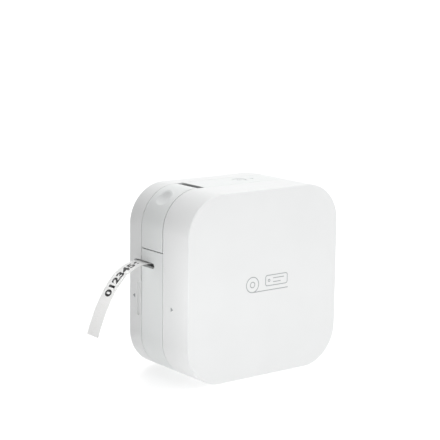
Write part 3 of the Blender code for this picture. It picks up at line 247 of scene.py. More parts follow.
def noise(look, sizeMm, detail=3.0, stretch=(1, 1, 1)):
    # cloudy or grainy pattern whose blobs are about sizeMm across
    scale = tuple(s / (sizeMm * mm) for s in stretch)
    return addNode(look, "ShaderNodeTexNoise", Vector=objectPlace(look, scale), Scale=1.0, Detail=detail,
                   Roughness=0.55).outputs["Fac"]


def bump(look, shader, height, distanceMm, strength=1.0):
    node = addNode(look, "ShaderNodeBump", Strength=strength, Distance=distanceMm * mm, Height=height)
    connect(look, node.outputs["Normal"], shader, "Normal")


def mouldedPlastic(name, colours, roughness, grainMm, grainDepth, ior=1.53, polish=0.05):
    # injection moulding against a spark-eroded tool: an even satin grain, and slow flow clouds in the colour
    look, shader = newLook(name, colours[0], roughness, ior)
    clouds = noise(look, 38, 2.0)
    connect(look, ramp(look, clouds, (0.35, colours[0]), (0.65, colours[1])), shader, "Base Color")
    grain = noise(look, grainMm, 2.0)
    connect(look, mapRange(look, grain, 0.3, 0.7, roughness - polish, roughness + polish), shader, "Roughness")
    bump(look, shader, grain, grainDepth)
    return look


# ABS, injection moulded with a fine satin grain: broad soft highlights, no sharp reflections. The real
# grain is about 0.05 mm and is drawn at 0.45 mm so that it shows
shellAbs = mouldedPlastic("shellAbs", ("#f1f2f2", "#eff0f0"), 0.44, 0.45, 0.006)
# the same ABS from a finer tool on the band and lever: a little smoother and cooler
bandAbs = mouldedPlastic("bandAbs", ("#eef0f0", "#ecefee"), 0.40, 0.40, 0.004)
# ABS from a plain machined tool on the inner frame: flatter, with coarser flow clouds
frameAbs = mouldedPlastic("frameAbs", ("#e4e6e6", "#dfe1e1"), 0.5, 0.7, 0.006)
# acetal (POM), moulded and unpainted: waxy, slightly glossy, near-white cream on the gears
gearAcetal = mouldedPlastic("gearAcetal", ("#efebdc", "#eae5d3"), 0.32, 0.5, 0.004, ior=1.48)
# acetal filled grey for the sliding carriage and the roller arm: waxy and a little glossy
greyAcetal = mouldedPlastic("greyAcetal", ("#6f7375", "#666a6c"), 0.35, 0.5, 0.005, ior=1.48)
# glass-filled nylon of the power socket: matt black with a mottled skin
blackNylon = mouldedPlastic("blackNylon", ("#1b1c1d", "#222324"), 0.55, 0.35, 0.012)
# rubber, ground round after moulding: matt black with a fine cross grain
groundRubber = mouldedPlastic("groundRubber", ("#242425", "#2b2b2c"), 0.75, 0.3, 0.02, ior=1.52)
# polystyrene of the cassette, smoke tinted and polished: glossy, dark, with faint flow lines
smokePolystyrene = mouldedPlastic("smokePolystyrene", ("#44484c", "#3c4044"), 0.16, 6.0, 0.01, ior=1.59,
                                  polish=0.04)
# acrylic light pipe, frosted on its outer face: milky and soft
frostedAcrylic = mouldedPlastic("frostedAcrylic", ("#dfe6e8", "#d6dfe2"), 0.3, 0.3, 0.01, ior=1.49)
# alumina substrate of the print head, ground and glazed: pale and stony with a glossy skin
glazedAlumina = mouldedPlastic("glazedAlumina", ("#e3ddd0", "#d8d2c4"), 0.22, 0.4, 0.004, ior=1.76)
# printing ink pad-printed on the shell: flat mid grey, slightly duller than the plastic
padInkGrey = mouldedPlastic("padInkGrey", ("#a6a9ab", "#a0a3a5"), 0.5, 0.25, 0.003)
# thermal-transfer ink sealed under the label's clear film: deep even black with the film's own sheen
transferInk = mouldedPlastic("transferInk", ("#060606", "#0b0b0b"), 0.3, 0.2, 0.002)


def labelFilmLook():
    # polyester label film, laminated: opaque white body under a clear satin skin, with fine roll marks across it
    look, shader = newLook("labelFilm", "#fbfbfa", 0.32, 1.58)
    lines = noise(look, 0.5, 2.0, stretch=(1, 0.08, 1))
    connect(look, ramp(look, lines, (0.3, "#fcfcfb"), (0.7, "#f9f9f8")), shader, "Base Color")
    connect(look, mapRange(look, lines, 0.3, 0.7, 0.26, 0.36), shader, "Roughness")
    bump(look, shader, lines, 0.004)
    shader.inputs["Coat Weight"].default_value = 0.25
    shader.inputs["Coat Roughness"].default_value = 0.2
    return look


def tapeRollLook(name, centre, colours, layerMm):
    # film wound on a core: rings of separate turns show on the roll's flat ends
    look, shader = newLook(name, colours[0], 0.35, 1.58)
    where = objectPlace(look, location=(-centre[0], 0, -centre[2]))
    rings = addNode(look, "ShaderNodeTexWave", {"wave_type": "RINGS", "rings_direction": "Y"}, Vector=where,
                    Scale=1 / (layerMm * mm) / 20, Distortion=0.4, Detail=1.0).outputs["Fac"]
    connect(look, ramp(look, rings, (0.2, colours[0]), (0.8, colours[1])), shader, "Base Color")
    bump(look, shader, rings, 0.02)
    return look


def metalLook(name, colours, roughness, grainMm, stretch, depth=0.004):
    # bare metal: colour drifts a little, and the tool marks run along one way
    look, shader = newLook(name, colours[0], roughness, metallic=1.0)
    marks = noise(look, grainMm, 4.0, stretch)
    clouds = noise(look, 9, 2.0)
    connect(look, ramp(look, clouds, (0.3, colours[0]), (0.7, colours[1])), shader, "Base Color")
    connect(look, mapRange(look, marks, 0.25, 0.75, roughness * 0.7, roughness * 1.3), shader, "Roughness")
    bump(look, shader, marks, depth)
    return look


# cold-rolled steel sheet, brushed along X: long fine streaks
brushedSteel = metalLook("brushedSteel", ("#b9bbbd", "#aeb0b3"), 0.34, 0.35, (0.05, 1, 1))
# hardened steel of the blade, ground across its width: bright and finely lined
groundSteel = metalLook("groundSteel", ("#c9cbcd", "#c0c2c4"), 0.2, 0.2, (1, 1, 0.05))
# spring steel wire, drawn: dark bright grey with lines along the wire
springWire = metalLook("springWire", ("#8f9193", "#85878a"), 0.28, 0.3, (1, 1, 1))
# turned steel shafts and pins: fine rings round the axis, which is Y
turnedSteel = metalLook("turnedSteel", ("#c2c4c6", "#b8babd"), 0.22, 0.3, (0.1, 1, 0.1))
# zinc-plated screws: bluish bright grey, slightly clouded
zincPlate = metalLook("zincPlate", ("#b6bcc4", "#c3c4bb"), 0.3, 0.5, (1, 1, 1))
# tinned steel shield of the radio module: soft, smeary white metal
tinnedSteel = metalLook("tinnedSteel", ("#c8c8c4", "#b9bab8"), 0.36, 1.2, (1, 1, 1), 0.01)
# extruded aluminium heat sink: pale, with die lines along X
extrudedAluminium = metalLook("extrudedAluminium", ("#cfd1d2", "#c4c6c8"), 0.35, 0.4, (0.04, 1, 1))
# turned brass pinion: warm yellow, lightly dulled
turnedBrass = metalLook("turnedBrass", ("#d6b26a", "#c8a157"), 0.28, 0.3, (0.1, 1, 0.1))
# nickel-plated contact strip: warm white metal with rubbed spots
nickelPlate = metalLook("nickelPlate", ("#c9c4b8", "#bdb8ad"), 0.24, 0.8, (1, 1, 1))


def motorLook():
    # zinc-plated drawn motor can: bright, with faint rings from drawing
    return metalLook("drawnCan", ("#bfc2c6", "#b3b6bb"), 0.26, 0.5, (0.2, 1, 0.2))


def circuitLook():
    # glass-epoxy board under green solder mask: glossy, with lighter copper tracks and solder pads
    look, shader = newLook("solderMask", "#14532f", 0.28, 1.5)
    where = objectPlace(look, (1 / (2.4 * mm),) * 3, rotation=(math.radians(90), 0, 0))
    tracks = addNode(look, "ShaderNodeTexBrick", {"offset": 0.37, "squash": 1.6}, Vector=where, Scale=1.0,
                     Color1=linear("#1a6a3c"), Color2=linear("#125030"), Mortar=linear("#0d3d24"),
                     Mortar_Size=0.04, Brick_Width=1.9, Row_Height=0.42)
    dots = addNode(look, "ShaderNodeTexVoronoi", {"feature": "F1"}, Vector=where, Scale=1.1)
    pads = mapRange(look, dots.outputs["Distance"], 0.09, 0.13, 1.0, 0.0)
    mixed = addNode(look, "ShaderNodeMix", {"data_type": "RGBA"}, i0=pads, i6=tracks.outputs["Color"],
                    i7=linear("#c8c6bd"))
    connect(look, mixed.outputs[2], shader, "Base Color")
    bump(look, shader, tracks.outputs["Fac"], 0.03)
    return look


def flatCableLook():
    # polyimide flat cable: amber film with parallel copper lines under it
    look, shader = newLook("polyimideFilm", "#b5651d", 0.25, 1.7)
    lines = addNode(look, "ShaderNodeTexWave", {"wave_type": "BANDS", "bands_direction": "Z"},
                    Vector=objectPlace(look), Scale=1 / (1.0 * mm) / 20)
    connect(look, ramp(look, lines.outputs["Fac"], (0.35, "#8f4a10"), (0.6, "#c77a2b")), shader, "Base Color")
    bump(look, shader, lines.outputs["Fac"], 0.02)
    return look


def batteryLook(name, low, high):
    # alkaline cell: printed shrink sleeve, dark with a copper band at the plus end, and bare steel at both ends
    look, shader = newLook(name, "#2c3238", 0.25, 1.5)
    place = addNode(look, "ShaderNodeSeparateXYZ", Vector=objectPlace(look)).outputs["X"]
    share = mapRange(look, place, low, high, 0.0, 1.0)
    sleeve = ramp(look, share, (0.0, "#b9bbbd"), (0.012, "#2b3036"), (0.70, "#2f353b"), (0.705, "#b87333"),
                  (0.955, "#c27d3b"), (0.96, "#b9bbbd"))
    sleeve.node.color_ramp.interpolation = "CONSTANT"
    connect(look, sleeve, shader, "Base Color")
    bare = ramp(look, share, (0.0, "#ffffff"), (0.012, "#000000"), (0.96, "#ffffff"))
    bare.node.color_ramp.interpolation = "CONSTANT"
    connect(look, bare, shader, "Metallic")
    fine = noise(look, 0.8, 2.0)
    connect(look, mapRange(look, fine, 0.3, 0.7, 0.2, 0.32), shader, "Roughness")
    bump(look, shader, fine, 0.004)
    return look


def inkRibbonLook(name, centre):
    # polyester ribbon coated with black transfer ink, wound on a spool: very dark, with fine bright rings
    return tapeRollLook(name, centre, ("#17171a", "#2a2a2e"), 0.4)


labelFilm = labelFilmLook()
drawnCan = motorLook()
solderMask = circuitLook()
print("materials made:", len(bpy.data.materials))


# The two outer covers are modelled afresh, with smooth corners and thin walls
cover = {
    "rimRadius": 0.8 * mm,  # softened edge of the big outer face
    "rimSteps": 5,
    "seamRadius": 0.22 * mm,  # broken edge where two shells meet
    "cornerSegments": 26,
    "faceBack": 0.04 * mm,  # room in front of the face for the printed mark
    "innerFillet": 0.9 * mm,
    "pastSeam": 5 * mm,  # how far the hollow's cutter runs past the open end
    "seamGap": 0.4 * mm,  # between the band and each cover
    "ribThick": 1.5 * mm,
}
sameSpot = 1e-6  # two points closer than this are at one place
onEnd = 1e-5  # a point is on a shell's end if it is closer to it than this
onOutline = 2e-5


def roundedBlock(name, low, high, radius, rimY, rimRadius):
    # a block with round corners seen from the front, and one softened face
    block = addBox(name, low, high)
    editMesh(block, "EDGE")
    selectWhere(block, "edges", lambda a, b: abs(a.x - b.x) < sameSpot and abs(a.z - b.z) < sameSpot)
    bpy.ops.mesh.bevel(offset=radius, segments=cover["cornerSegments"], profile=0.5, affect="EDGES")
    if rimRadius:
        selectWhere(block, "edges", lambda a, b: abs(a.y - rimY) < sameSpot and abs(b.y - rimY) < sameSpot)
        bpy.ops.mesh.bevel(offset=rimRadius, segments=cover["rimSteps"], profile=0.5, affect="EDGES")
    bpy.ops.object.mode_set(mode="OBJECT")
    return block


def outlineGap(point, inset=0.0):
    # how far a point is outside the body's rounded outline, drawn in by inset
    halfWidth, halfHeight = bodyWidth / 2 - inset, bodyHeight / 2 - inset
    radius = cornerRadius - inset
    x = abs(point.x) - (halfWidth - radius)
    z = abs(point.z - bodyHeight / 2) - (halfHeight - radius)
    return math.hypot(max(x, 0), max(z, 0)) + min(max(x, z), 0) - radius


def breakEdges(piece, y, width, insets=(0.0,), steps=2):
    # takes the sharpness off a shell's end, along its outline
    def onRim(a, b):
        return abs(a.y - y) < onEnd and abs(b.y - y) < onEnd and any(
            abs(outlineGap(a, inset)) < onOutline and abs(outlineGap(b, inset)) < onOutline for inset in insets)

    editMesh(piece, "EDGE")
    if selectWhere(piece, "edges", onRim):
        bpy.ops.mesh.bevel(offset=width, segments=steps, profile=0.5, affect="EDGES")
    bpy.ops.object.mode_set(mode="OBJECT")


def hollowShell(name, low, high, faceY, seamY):
    shell = roundedBlock(name, low, high, cornerRadius, faceY, cover["rimRadius"])
    toSeam = 1 if seamY > faceY else -1
    floorY = faceY + toSeam * shellWall
    openY = seamY + toSeam * cover["pastSeam"]
    inLow = Vector((low[0] + shellWall, min(floorY, openY), low[2] + shellWall))
    inHigh = Vector((high[0] - shellWall, max(floorY, openY), high[2] - shellWall))
    hollow = roundedBlock(name + "Hollow", inLow, inHigh, cornerRadius - shellWall, floorY,
                          cover["innerFillet"])
    combine(shell, hollow, "DIFFERENCE")
    breakEdges(shell, seamY, cover["seamRadius"], (0.0, shellWall))
    return shell


def addBlocks(shell, blocks):
    for i, (low, high) in enumerate(blocks):
        combine(shell, addBox(shell.name + "Block" + str(i), low, high), "UNION")


frontRibs = {
    "feet": (45 * mm, 70 * mm),  # height of each rib's underside, on both side walls
    "deep": 1.5 * mm,  # how far they stand off the wall
    "intoWall": 0.5 * mm,
    "fromFace": 1 * mm,
    "fromBand": 4.2 * mm,
}


def makeFrontCover():
    low, high = coverLow.copy(), coverHigh.copy()
    low.y += cover["faceBack"]
    shell = hollowShell("frontCover", low, high, low.y, high.y)
    inner = bodyWidth / 2 - shellWall
    ribs = []
    for side in (-1, 1):
        for z in frontRibs["feet"]:
            x = sorted((side * (inner + frontRibs["intoWall"]), side * (inner - frontRibs["deep"])))
            ribs.append(((x[0], low.y + frontRibs["fromFace"], z),
                         (x[1], bandLow.y - frontRibs["fromBand"], z + cover["ribThick"])))
    addBlocks(shell, ribs)
    smoothen(shell)
    return finishPiece(shell, "front_cover_body", shellAbs, ["front_cover"])


slot = {
    "wide": 21.4 * mm, "high": 3.5 * mm,
    "belowTape": 0.9 * mm,  # the slot's middle, below the label's
    "behindTape": 0.3 * mm,
    "outside": 3 * mm, "inside": 6 * mm,  # how far its cutter reaches past the body's side, each way
    "pastSeam": 2 * mm,
}
groove = {
    "radius": 1.2 * mm,
    "outside": 0.1 * mm,  # its axis, out from the body's side
    "behindSeam": 3 * mm,
    "top": 10.75 * mm, "foot": 31.25 * mm,  # below the slot
}
notch = {
    "deep": 1.2 * mm, "intoSeam": 0.4 * mm,
    "top": 0.6 * mm, "foot": 9.5 * mm,  # below the slot
    "outside": 1 * mm,
}
rearRibs = {
    "rises": (18 * mm, 36 * mm),  # above the cassette's underside
    "fromEnds": 14 * mm,
    "behindCassette": 0.6 * mm,
}


def makeRearCover():
    low, high = rearLow, rearHigh
    shell = hollowShell("rearCover", low, high, high.y, low.y)
    cassetteLow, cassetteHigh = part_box("cassette_case")
    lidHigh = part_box("cassette_lid")[1]
    back = max(cassetteHigh.y, lidHigh.y)
    ribs = [((cassetteLow.x + rearRibs["fromEnds"], back + rearRibs["behindCassette"], cassetteLow.z + rise),
             (cassetteHigh.x - rearRibs["fromEnds"], high.y - shellWall / 2,
              cassetteLow.z + rise + cover["ribThick"])) for rise in rearRibs["rises"]]
    addBlocks(shell, ribs)
    # the label's slot is where the CAD has it
    level, radius = tapeLevel - slot["belowTape"], slot["high"] / 2
    slotLow, slotHigh = level - radius, level + radius
    rear = tapeMiddle + slot["wide"] / 2 + slot["behindTape"] - radius
    outer, inner = -bodyWidth / 2 - slot["outside"], -bodyWidth / 2 + slot["inside"]
    cutter = addBox("rearSlot", (outer, low.y - slot["pastSeam"], slotLow), (inner, rear, slotHigh))
    end = addRod("rearSlotEnd", (outer, rear, slotLow + radius), (inner, rear, slotLow + radius), radius)
    combine(cutter, end, "UNION")
    combine(shell, cutter, "DIFFERENCE")
    grooveX, grooveY = -bodyWidth / 2 - groove["outside"], low.y + groove["behindSeam"]
    cutter = addRod("fingerGroove", (grooveX, grooveY, slotLow - groove["foot"]),
                    (grooveX, grooveY, slotLow - groove["top"]), groove["radius"], 64)
    combine(shell, cutter, "DIFFERENCE")
    # a shadow gap in the seam below the slot
    cutter = addBox("seamNotch", (-bodyWidth / 2 - notch["outside"], low.y - notch["outside"],
                                  slotLow - notch["foot"]),
                    (-bodyWidth / 2 + notch["deep"], low.y + notch["intoSeam"], slotLow - notch["top"]))
    combine(shell, cutter, "DIFFERENCE")
    smoothen(shell)
    return finishPiece(shell, "rear_cover_body", shellAbs, ["rear_cover"])


makeFrontCover()
makeRearCover()
print("covers made")


# The band, the inner frame and the lever are refined from the CAD's own solids

def copyOfNode(node, name):
    # the CAD's triangles, merged and cleared of the lines that cross flat faces
    deselectAll()
    piece = bpy.data.objects.new(name, frame["nodes"][node].data.copy())
    bpy.context.scene.collection.objects.link(piece)
    editMesh(piece)
    bpy.ops.object.mode_set(mode="EDIT")
    bpy.ops.mesh.select_all(action="SELECT")
    bpy.ops.mesh.remove_doubles(threshold=2e-6)
    bpy.ops.mesh.dissolve_limited(angle_limit=math.radians(0.4))
    bpy.ops.object.mode_set(mode="OBJECT")
    return piece


def trueCorners(piece, corners, step=90.0 / cornerSteps):
    # cuts each flat of the big corners in two and moves its points out to the true arc
    reach = 15 * mm  # points nearer to the corner's centre belong to something else
    half = math.radians(step / 2)
    for signX, signZ in corners:
        centreX = signX * (bodyWidth / 2 - cornerRadius)
        centreZ = bodyHeight / 2 + signZ * (bodyHeight / 2 - cornerRadius)

        def polar(p):
            dx, dz = signX * (p.x - centreX), signZ * (p.z - centreZ)
            return math.hypot(dx, dz), math.degrees(math.atan2(dz, dx))

        for i in range(cornerSteps):
            def onFlat(middle):
                away, angle = polar(middle)
                return away > reach and i * step < angle < (i + 1) * step
            angle = math.radians((i + 0.5) * step)
            editMesh(piece, "FACE")
            if selectWhere(piece, "polygons", onFlat):
                bpy.ops.mesh.bisect(plane_co=(centreX, 0, centreZ),
                                    plane_no=(-signZ * math.sin(angle), 0, signX * math.cos(angle)))
            bpy.ops.object.mode_set(mode="OBJECT")
        for vertex in piece.data.vertices:
            away, angle = polar(vertex.co)
            if away < reach or not -1e-4 < angle < cornerSteps * step + 1e-4:
                continue
            grow = math.cos(math.radians(angle % step) - half) / math.cos(half)
            vertex.co.x = centreX + (vertex.co.x - centreX) * grow
            vertex.co.z = centreZ + (vertex.co.z - centreZ) * grow


def softenEdges(piece, width, angle=40, steps=2):
    # a small round on every hard edge, as a mould or a file leaves
    applyModifier(piece, "BEVEL", width=width, segments=steps, limit_method="ANGLE",
                  angle_limit=math.radians(angle), use_clamp_overlap=True)


everyCorner = [(-1, -1), (-1, 1), (1, -1), (1, 1)]
bandEnds = (coverHigh.y + cover["seamGap"], rearLow.y - cover["seamGap"])


def makeBand():
    band = copyOfNode("chassis", "centreBand")
    trueCorners(band, everyCorner)
    for y in bandEnds:
        breakEdges(band, y, cover["seamRadius"])
    smoothen(band)
    return finishPiece(band, "chassis_body", bandAbs, ["chassis"])


def makeInnerFrame():
    inner = copyOfNode("front_frame", "innerFrame")
    trueCorners(inner, everyCorner)
    smoothen(inner)
    return finishPiece(inner, "chassis_body", frameAbs, ["front_frame"])


leverShape = {
    "turn": 86.0,  # degrees of the corner's arc that the lever covers
    "footLift": 0.2 * mm,  # a wider shadow gap under the lever
    "footReach": 0.05 * mm,
    "sharpAngle": 20,
}


def makeLever():
    lever = copyOfNode("cutter_lever", "cutterLever")
    trueCorners(lever, [(-1, 1)], leverShape["turn"] / cornerSteps)
    for vertex in lever.data.vertices:
        if vertex.co.z < leverLow.z + leverShape["footReach"]:
            vertex.co.z += leverShape["footLift"]
    smoothen(lever, leverShape["sharpAngle"])
    return finishPiece(lever, "lever_body", bandAbs, ["cutter_lever"])


# painted shade in the lever's gap: where the black strip lies, following the lever's sunk surface
paintedShadeStrip = {
    "start": 27.1 * mm, "bend": 28.5 * mm, "end": 30.1 * mm,  # from the body's left side
    "startDrop": 0.72 * mm, "bendDrop": 1.43 * mm, "endDrop": 1.88 * mm,  # the lever's surface, below the top
    "thick": 0.17 * mm,
    "fromSides": 0.3 * mm,
    "edge": 0.05 * mm,
}


def makeStopPad():
    # painted shade: a thin black strip on the lever's sunk end, at the band's edge, which makes the gap there
    # read dark; it stands in for the shade down in that deep gap, not for a real part
    left = -bodyWidth / 2
    low = Vector((left + paintedShadeStrip["start"], leverLow.y + paintedShadeStrip["fromSides"], 0))
    high = Vector((left + paintedShadeStrip["end"], leverHigh.y - paintedShadeStrip["fromSides"], paintedShadeStrip["thick"]))
    shadeStrip = addBox("leverStopPad", low, high)
    bend = left + paintedShadeStrip["bend"]
    editMesh(shadeStrip, "FACE")
    bpy.ops.object.mode_set(mode="EDIT")
    bpy.ops.mesh.select_all(action="SELECT")
    bpy.ops.mesh.bisect(plane_co=(bend, 0, 0), plane_no=(1, 0, 0))
    bpy.ops.object.mode_set(mode="OBJECT")
    for vertex in shadeStrip.data.vertices:
        if vertex.co.x < bend:
            share = (bend - vertex.co.x) / (bend - low.x)
            drop = paintedShadeStrip["bendDrop"] + (paintedShadeStrip["startDrop"] - paintedShadeStrip["bendDrop"]) * share
        else:
            share = (vertex.co.x - bend) / (high.x - bend)
            drop = paintedShadeStrip["bendDrop"] + (paintedShadeStrip["endDrop"] - paintedShadeStrip["bendDrop"]) * share
        vertex.co.z += bodyHeight - drop
    softenEdges(shadeStrip, paintedShadeStrip["edge"])
    smoothen(shadeStrip)
    # the black nylon look here paints the gap's shade
    return finishPiece(shadeStrip, "lever_body", blackNylon)


makeBand()
makeInnerFrame()
makeLever()
makeStopPad()
print("band, frame and lever made")


# The printed label
label = {
    "thick": 0.2 * mm,  # 0.15 mm in a real one, drawn a little thicker so that its edge shows
    "steps": 110,
    "stepsAcross": 6,
    "digits": "0123456",
    "digitHeight": 6.2 * mm,
    "textStart": 3.2 * mm,  # from the slot to the last digit, along the label
    "textLength": 31 * mm,
    "strokeGrow": 0.035,  # makes the digits bolder, as a share of their drawn size
    "inkLift": 0.012 * mm,
    "inkThick": 0.01 * mm,
    "inkStep": 0.7 * mm,  # the digits bend with the label in steps of this length
}
# the curl that the CAD's strip follows outside the body: (out from the side, above the slot) of its handles
curlHandles = [(0, 0), (17.5 * mm, 2.4 * mm), (29.5 * mm, -17.4 * mm), (37 * mm, -40.2 * mm)]


def bezierPoint(points, t):
    a, b, c, d = points
    return a * (1 - t) ** 3 + b * 3 * t * (1 - t) ** 2 + c * 3 * t * t * (1 - t) + d * t ** 3


def labelRoute():
    # points along the whole label from its inner end, and how far along it each one is
    inner = tapeHigh.x
    left = -bodyWidth / 2
    straight = [Vector((inner + (left - inner) * i / 20, 0, tapeLevel)) for i in range(20)]
    handles = [Vector((left - out, 0, tapeLevel + rise)) for out, rise in curlHandles]
    curl = [bezierPoint(handles, i / 200) for i in range(201)]
    points = straight + curl
    lengths = [0.0]
    for a, b in zip(points, points[1:]):
        lengths.append(lengths[-1] + (b - a).length)
    return points, lengths


def along(points, lengths, distance):
    # place and upper side's normal at a distance along the route
    i = next((k for k in range(1, len(lengths)) if lengths[k] >= distance), len(lengths) - 1)
    share = (distance - lengths[i - 1]) / (lengths[i] - lengths[i - 1])
    here = points[i - 1].lerp(points[i], share)
    before, after = points[max(i - 2, 0)], points[min(i + 1, len(points) - 1)]
    way = (after - before).normalized()
    return here, Vector((way.z, 0, -way.x))


def wrapOntoLabel(piece, points, lengths):
    # local x becomes distance along the route, y stays, z becomes height over the label's middle
    for vertex in piece.data.vertices:
        here, up = along(points, lengths, vertex.co.x)
        y = vertex.co.y
        vertex.co = here + up * vertex.co.z
        vertex.co.y = y


def makeLabel():
    points, lengths = labelRoute()
    total = lengths[-1]
    deselectAll()
    bpy.ops.mesh.primitive_grid_add(x_subdivisions=label["steps"], y_subdivisions=label["stepsAcross"], size=1)
    strip = bpy.context.active_object
    strip.name = "printedLabel"
    strip.scale = (total, tapeHigh.y - tapeLow.y, 1)
    strip.location = (total / 2, tapeMiddle, 0)
    applyScale(strip)
    wrapOntoLabel(strip, points, lengths)
    applyModifier(strip, "SOLIDIFY", thickness=label["thick"], offset=0.0)
    makeActive(strip)
    bpy.ops.object.mode_set(mode="EDIT")
    bpy.ops.mesh.select_all(action="SELECT")
    bpy.ops.mesh.normals_make_consistent(inside=False)
    bpy.ops.object.mode_set(mode="OBJECT")
    smoothen(strip, 40)
    finishPiece(strip, "cassette_body", labelFilm, ["label_strip"])
    return points, lengths


def makeDigits(points, lengths):
    # plain digits stand for whatever is printed, and read with the slot to their right
    deselectAll()
    bpy.ops.object.text_add()
    text = bpy.context.active_object
    text.data.body = label["digits"]
    text.data.size = 1
    text.data.offset = label["strokeGrow"]
    makeActive(text)
    bpy.ops.object.convert(target="MESH")
    digits = bpy.context.active_object
    digits.name = "printedDigits"
    low = Vector((min(v.co.x for v in digits.data.vertices), min(v.co.y for v in digits.data.vertices), 0))
    high = Vector((max(v.co.x for v in digits.data.vertices), max(v.co.y for v in digits.data.vertices), 0))
    scaleX = label["textLength"] / (high.x - low.x)
    scaleY = label["digitHeight"] / (high.y - low.y)
    slotAt = tapeHigh.x + bodyWidth / 2  # distance from the label's inner end to the body's side
    start = slotAt + label["textStart"] + label["textLength"]
    for vertex in digits.data.vertices:
        # distance grows away from the slot, so the text's x runs backwards along the route
        vertex.co = Vector((start - (vertex.co.x - low.x) * scaleX,
                            tapeMiddle + (vertex.co.y - (low.y + high.y) / 2) * scaleY,
                            label["thick"] / 2 + label["inkLift"]))
    steps = int(label["textLength"] / label["inkStep"])
    for i in range(1, steps):
        editMesh(digits, "FACE")
        bpy.ops.object.mode_set(mode="EDIT")
        bpy.ops.mesh.select_all(action="SELECT")
        bpy.ops.mesh.bisect(plane_co=(start - label["textLength"] * i / steps, 0, 0), plane_no=(1, 0, 0))
        bpy.ops.object.mode_set(mode="OBJECT")
    wrapOntoLabel(digits, points, lengths)
    applyModifier(digits, "SOLIDIFY", thickness=label["inkThick"], offset=0.0)
    finishPiece(digits, "cassette_body", transferInk)


labelPoints, labelLengths = makeLabel()
makeDigits(labelPoints, labelLengths)
print("label made")


# Marks on the outside
marks = {
    "arrowSize": 1.6 * mm,  # from the middle to a corner
    "arrowThick": 0.04 * mm,
    "arrowOut": 0.015 * mm,  # its middle, out from the body's side
    "arrowCorner": 0.25 * mm,
    "stroke": 0.24 * mm,  # half the width of the pictogram's lines
    "inkThick": 0.02 * mm,
    "powerRadius": 1.3 * mm, "powerStroke": 0.16 * mm,
    "powerBar": (0.25 * mm, 1.7 * mm),
    "powerLift": 0.012 * mm,
    "powerFlat": 0.1,  # its lines' thickness as a share of their width
}


def makeArrow(name, body, y, z, pointsToFront):
    # the small grey triangle that shows which way the cover comes off
    deselectAll()
    turn = math.radians(180) if pointsToFront else 0.0
    bpy.ops.mesh.primitive_cylinder_add(vertices=3, radius=marks["arrowSize"], depth=marks["arrowThick"],
                                        location=(-bodyWidth / 2 - marks["arrowOut"], y, z),
                                        rotation=(0, math.radians(90), turn))
    arrow = bpy.context.active_object
    arrow.name = name
    applyScale(arrow)
    editMesh(arrow, "EDGE")
    selectWhere(arrow, "edges", lambda a, b: abs(a.y - b.y) < sameSpot and abs(a.z - b.z) < sameSpot)
    bpy.ops.mesh.bevel(offset=marks["arrowCorner"], segments=4, affect="EDGES")
    bpy.ops.object.mode_set(mode="OBJECT")
    smoothen(arrow)
    return finishPiece(arrow, body, padInkGrey)


def drawStroke(points, closed, halfWidth):
    # one ink line through the points, flattened later
    curve = bpy.data.curves.new("stroke", "CURVE")
    curve.dimensions = "3D"
    curve.bevel_depth = halfWidth
    curve.bevel_resolution = 2
    curve.use_fill_caps = True
    spline = curve.splines.new("POLY")
    spline.points.add(len(points) - 1)
    for point, (x, z) in zip(spline.points, points):
        point.co = (x, 0, z, 1)
    spline.use_cyclic_u = closed
    stroke = bpy.data.objects.new("stroke", curve)
    bpy.context.scene.collection.objects.link(stroke)
    return stroke


def ringPoints(x, z, radius, start=0, end=360, count=40):
    angles = [math.radians(start + (end - start) * i / count) for i in range(count + 1)]
    points = [(x + radius * math.cos(a), z + radius * math.sin(a)) for a in angles]
    return points[:-1] if end - start == 360 else points


def roundedPoints(lowX, lowZ, highX, highZ, radius):
    points = []
    for x, z, start in ((highX - radius, highZ - radius, 0), (lowX + radius, highZ - radius, 90),
                        (lowX + radius, lowZ + radius, 180), (highX - radius, lowZ + radius, 270)):
        points += ringPoints(x, z, radius, start, start + 90, 6)
    return points


def joinStrokes(name, strokes, flatten):
    deselectAll()
    for stroke in strokes:
        stroke.select_set(True)
    bpy.context.view_layer.objects.active = strokes[0]
    bpy.ops.object.convert(target="MESH")
    bpy.ops.object.join()
    piece = bpy.context.active_object
    piece.name = name
    editMesh(piece)
    bpy.ops.object.mode_set(mode="EDIT")
    bpy.ops.mesh.select_all(action="SELECT")
    bpy.ops.mesh.remove_doubles(threshold=1e-6)
    bpy.ops.mesh.normals_make_consistent(inside=False)
    bpy.ops.object.mode_set(mode="OBJECT")
    for vertex in piece.data.vertices:
        vertex.co.y *= flatten
    return piece


def makePictogram():
    # a roll of tape and a label tag, in thin grey lines
    rollX, rollZ, rollRadius = -9.6 * mm, 57.6 * mm, 4.7 * mm
    base = rollZ - rollRadius
    strokes = [
        (ringPoints(rollX, rollZ, rollRadius), True),
        (ringPoints(rollX, rollZ, 1.7 * mm, count=24), True),
        ([(rollX, base), (18.0 * mm, base)], False),
        (roundedPoints(0.5 * mm, 55.6 * mm, 17.5 * mm, 62.0 * mm, 1.3 * mm), True),
        (ringPoints(3.2 * mm, 58.8 * mm, 0.7 * mm, count=16), True),
        ([(6.4 * mm, 60.0 * mm), (15.0 * mm, 60.0 * mm)], False),
        ([(6.4 * mm, 57.6 * mm), (12.2 * mm, 57.6 * mm)], False),
    ]
    lines = [drawStroke(points, closed, marks["stroke"]) for points, closed in strokes]
    piece = joinStrokes("labelPictogram", lines, marks["inkThick"] / marks["stroke"])
    for vertex in piece.data.vertices:
        vertex.co.y += coverLow.y + marks["inkThick"]
    makeActive(piece)
    bpy.ops.object.shade_smooth_by_angle(angle=math.radians(50))
    return finishPiece(piece, "front_cover_body", padInkGrey)


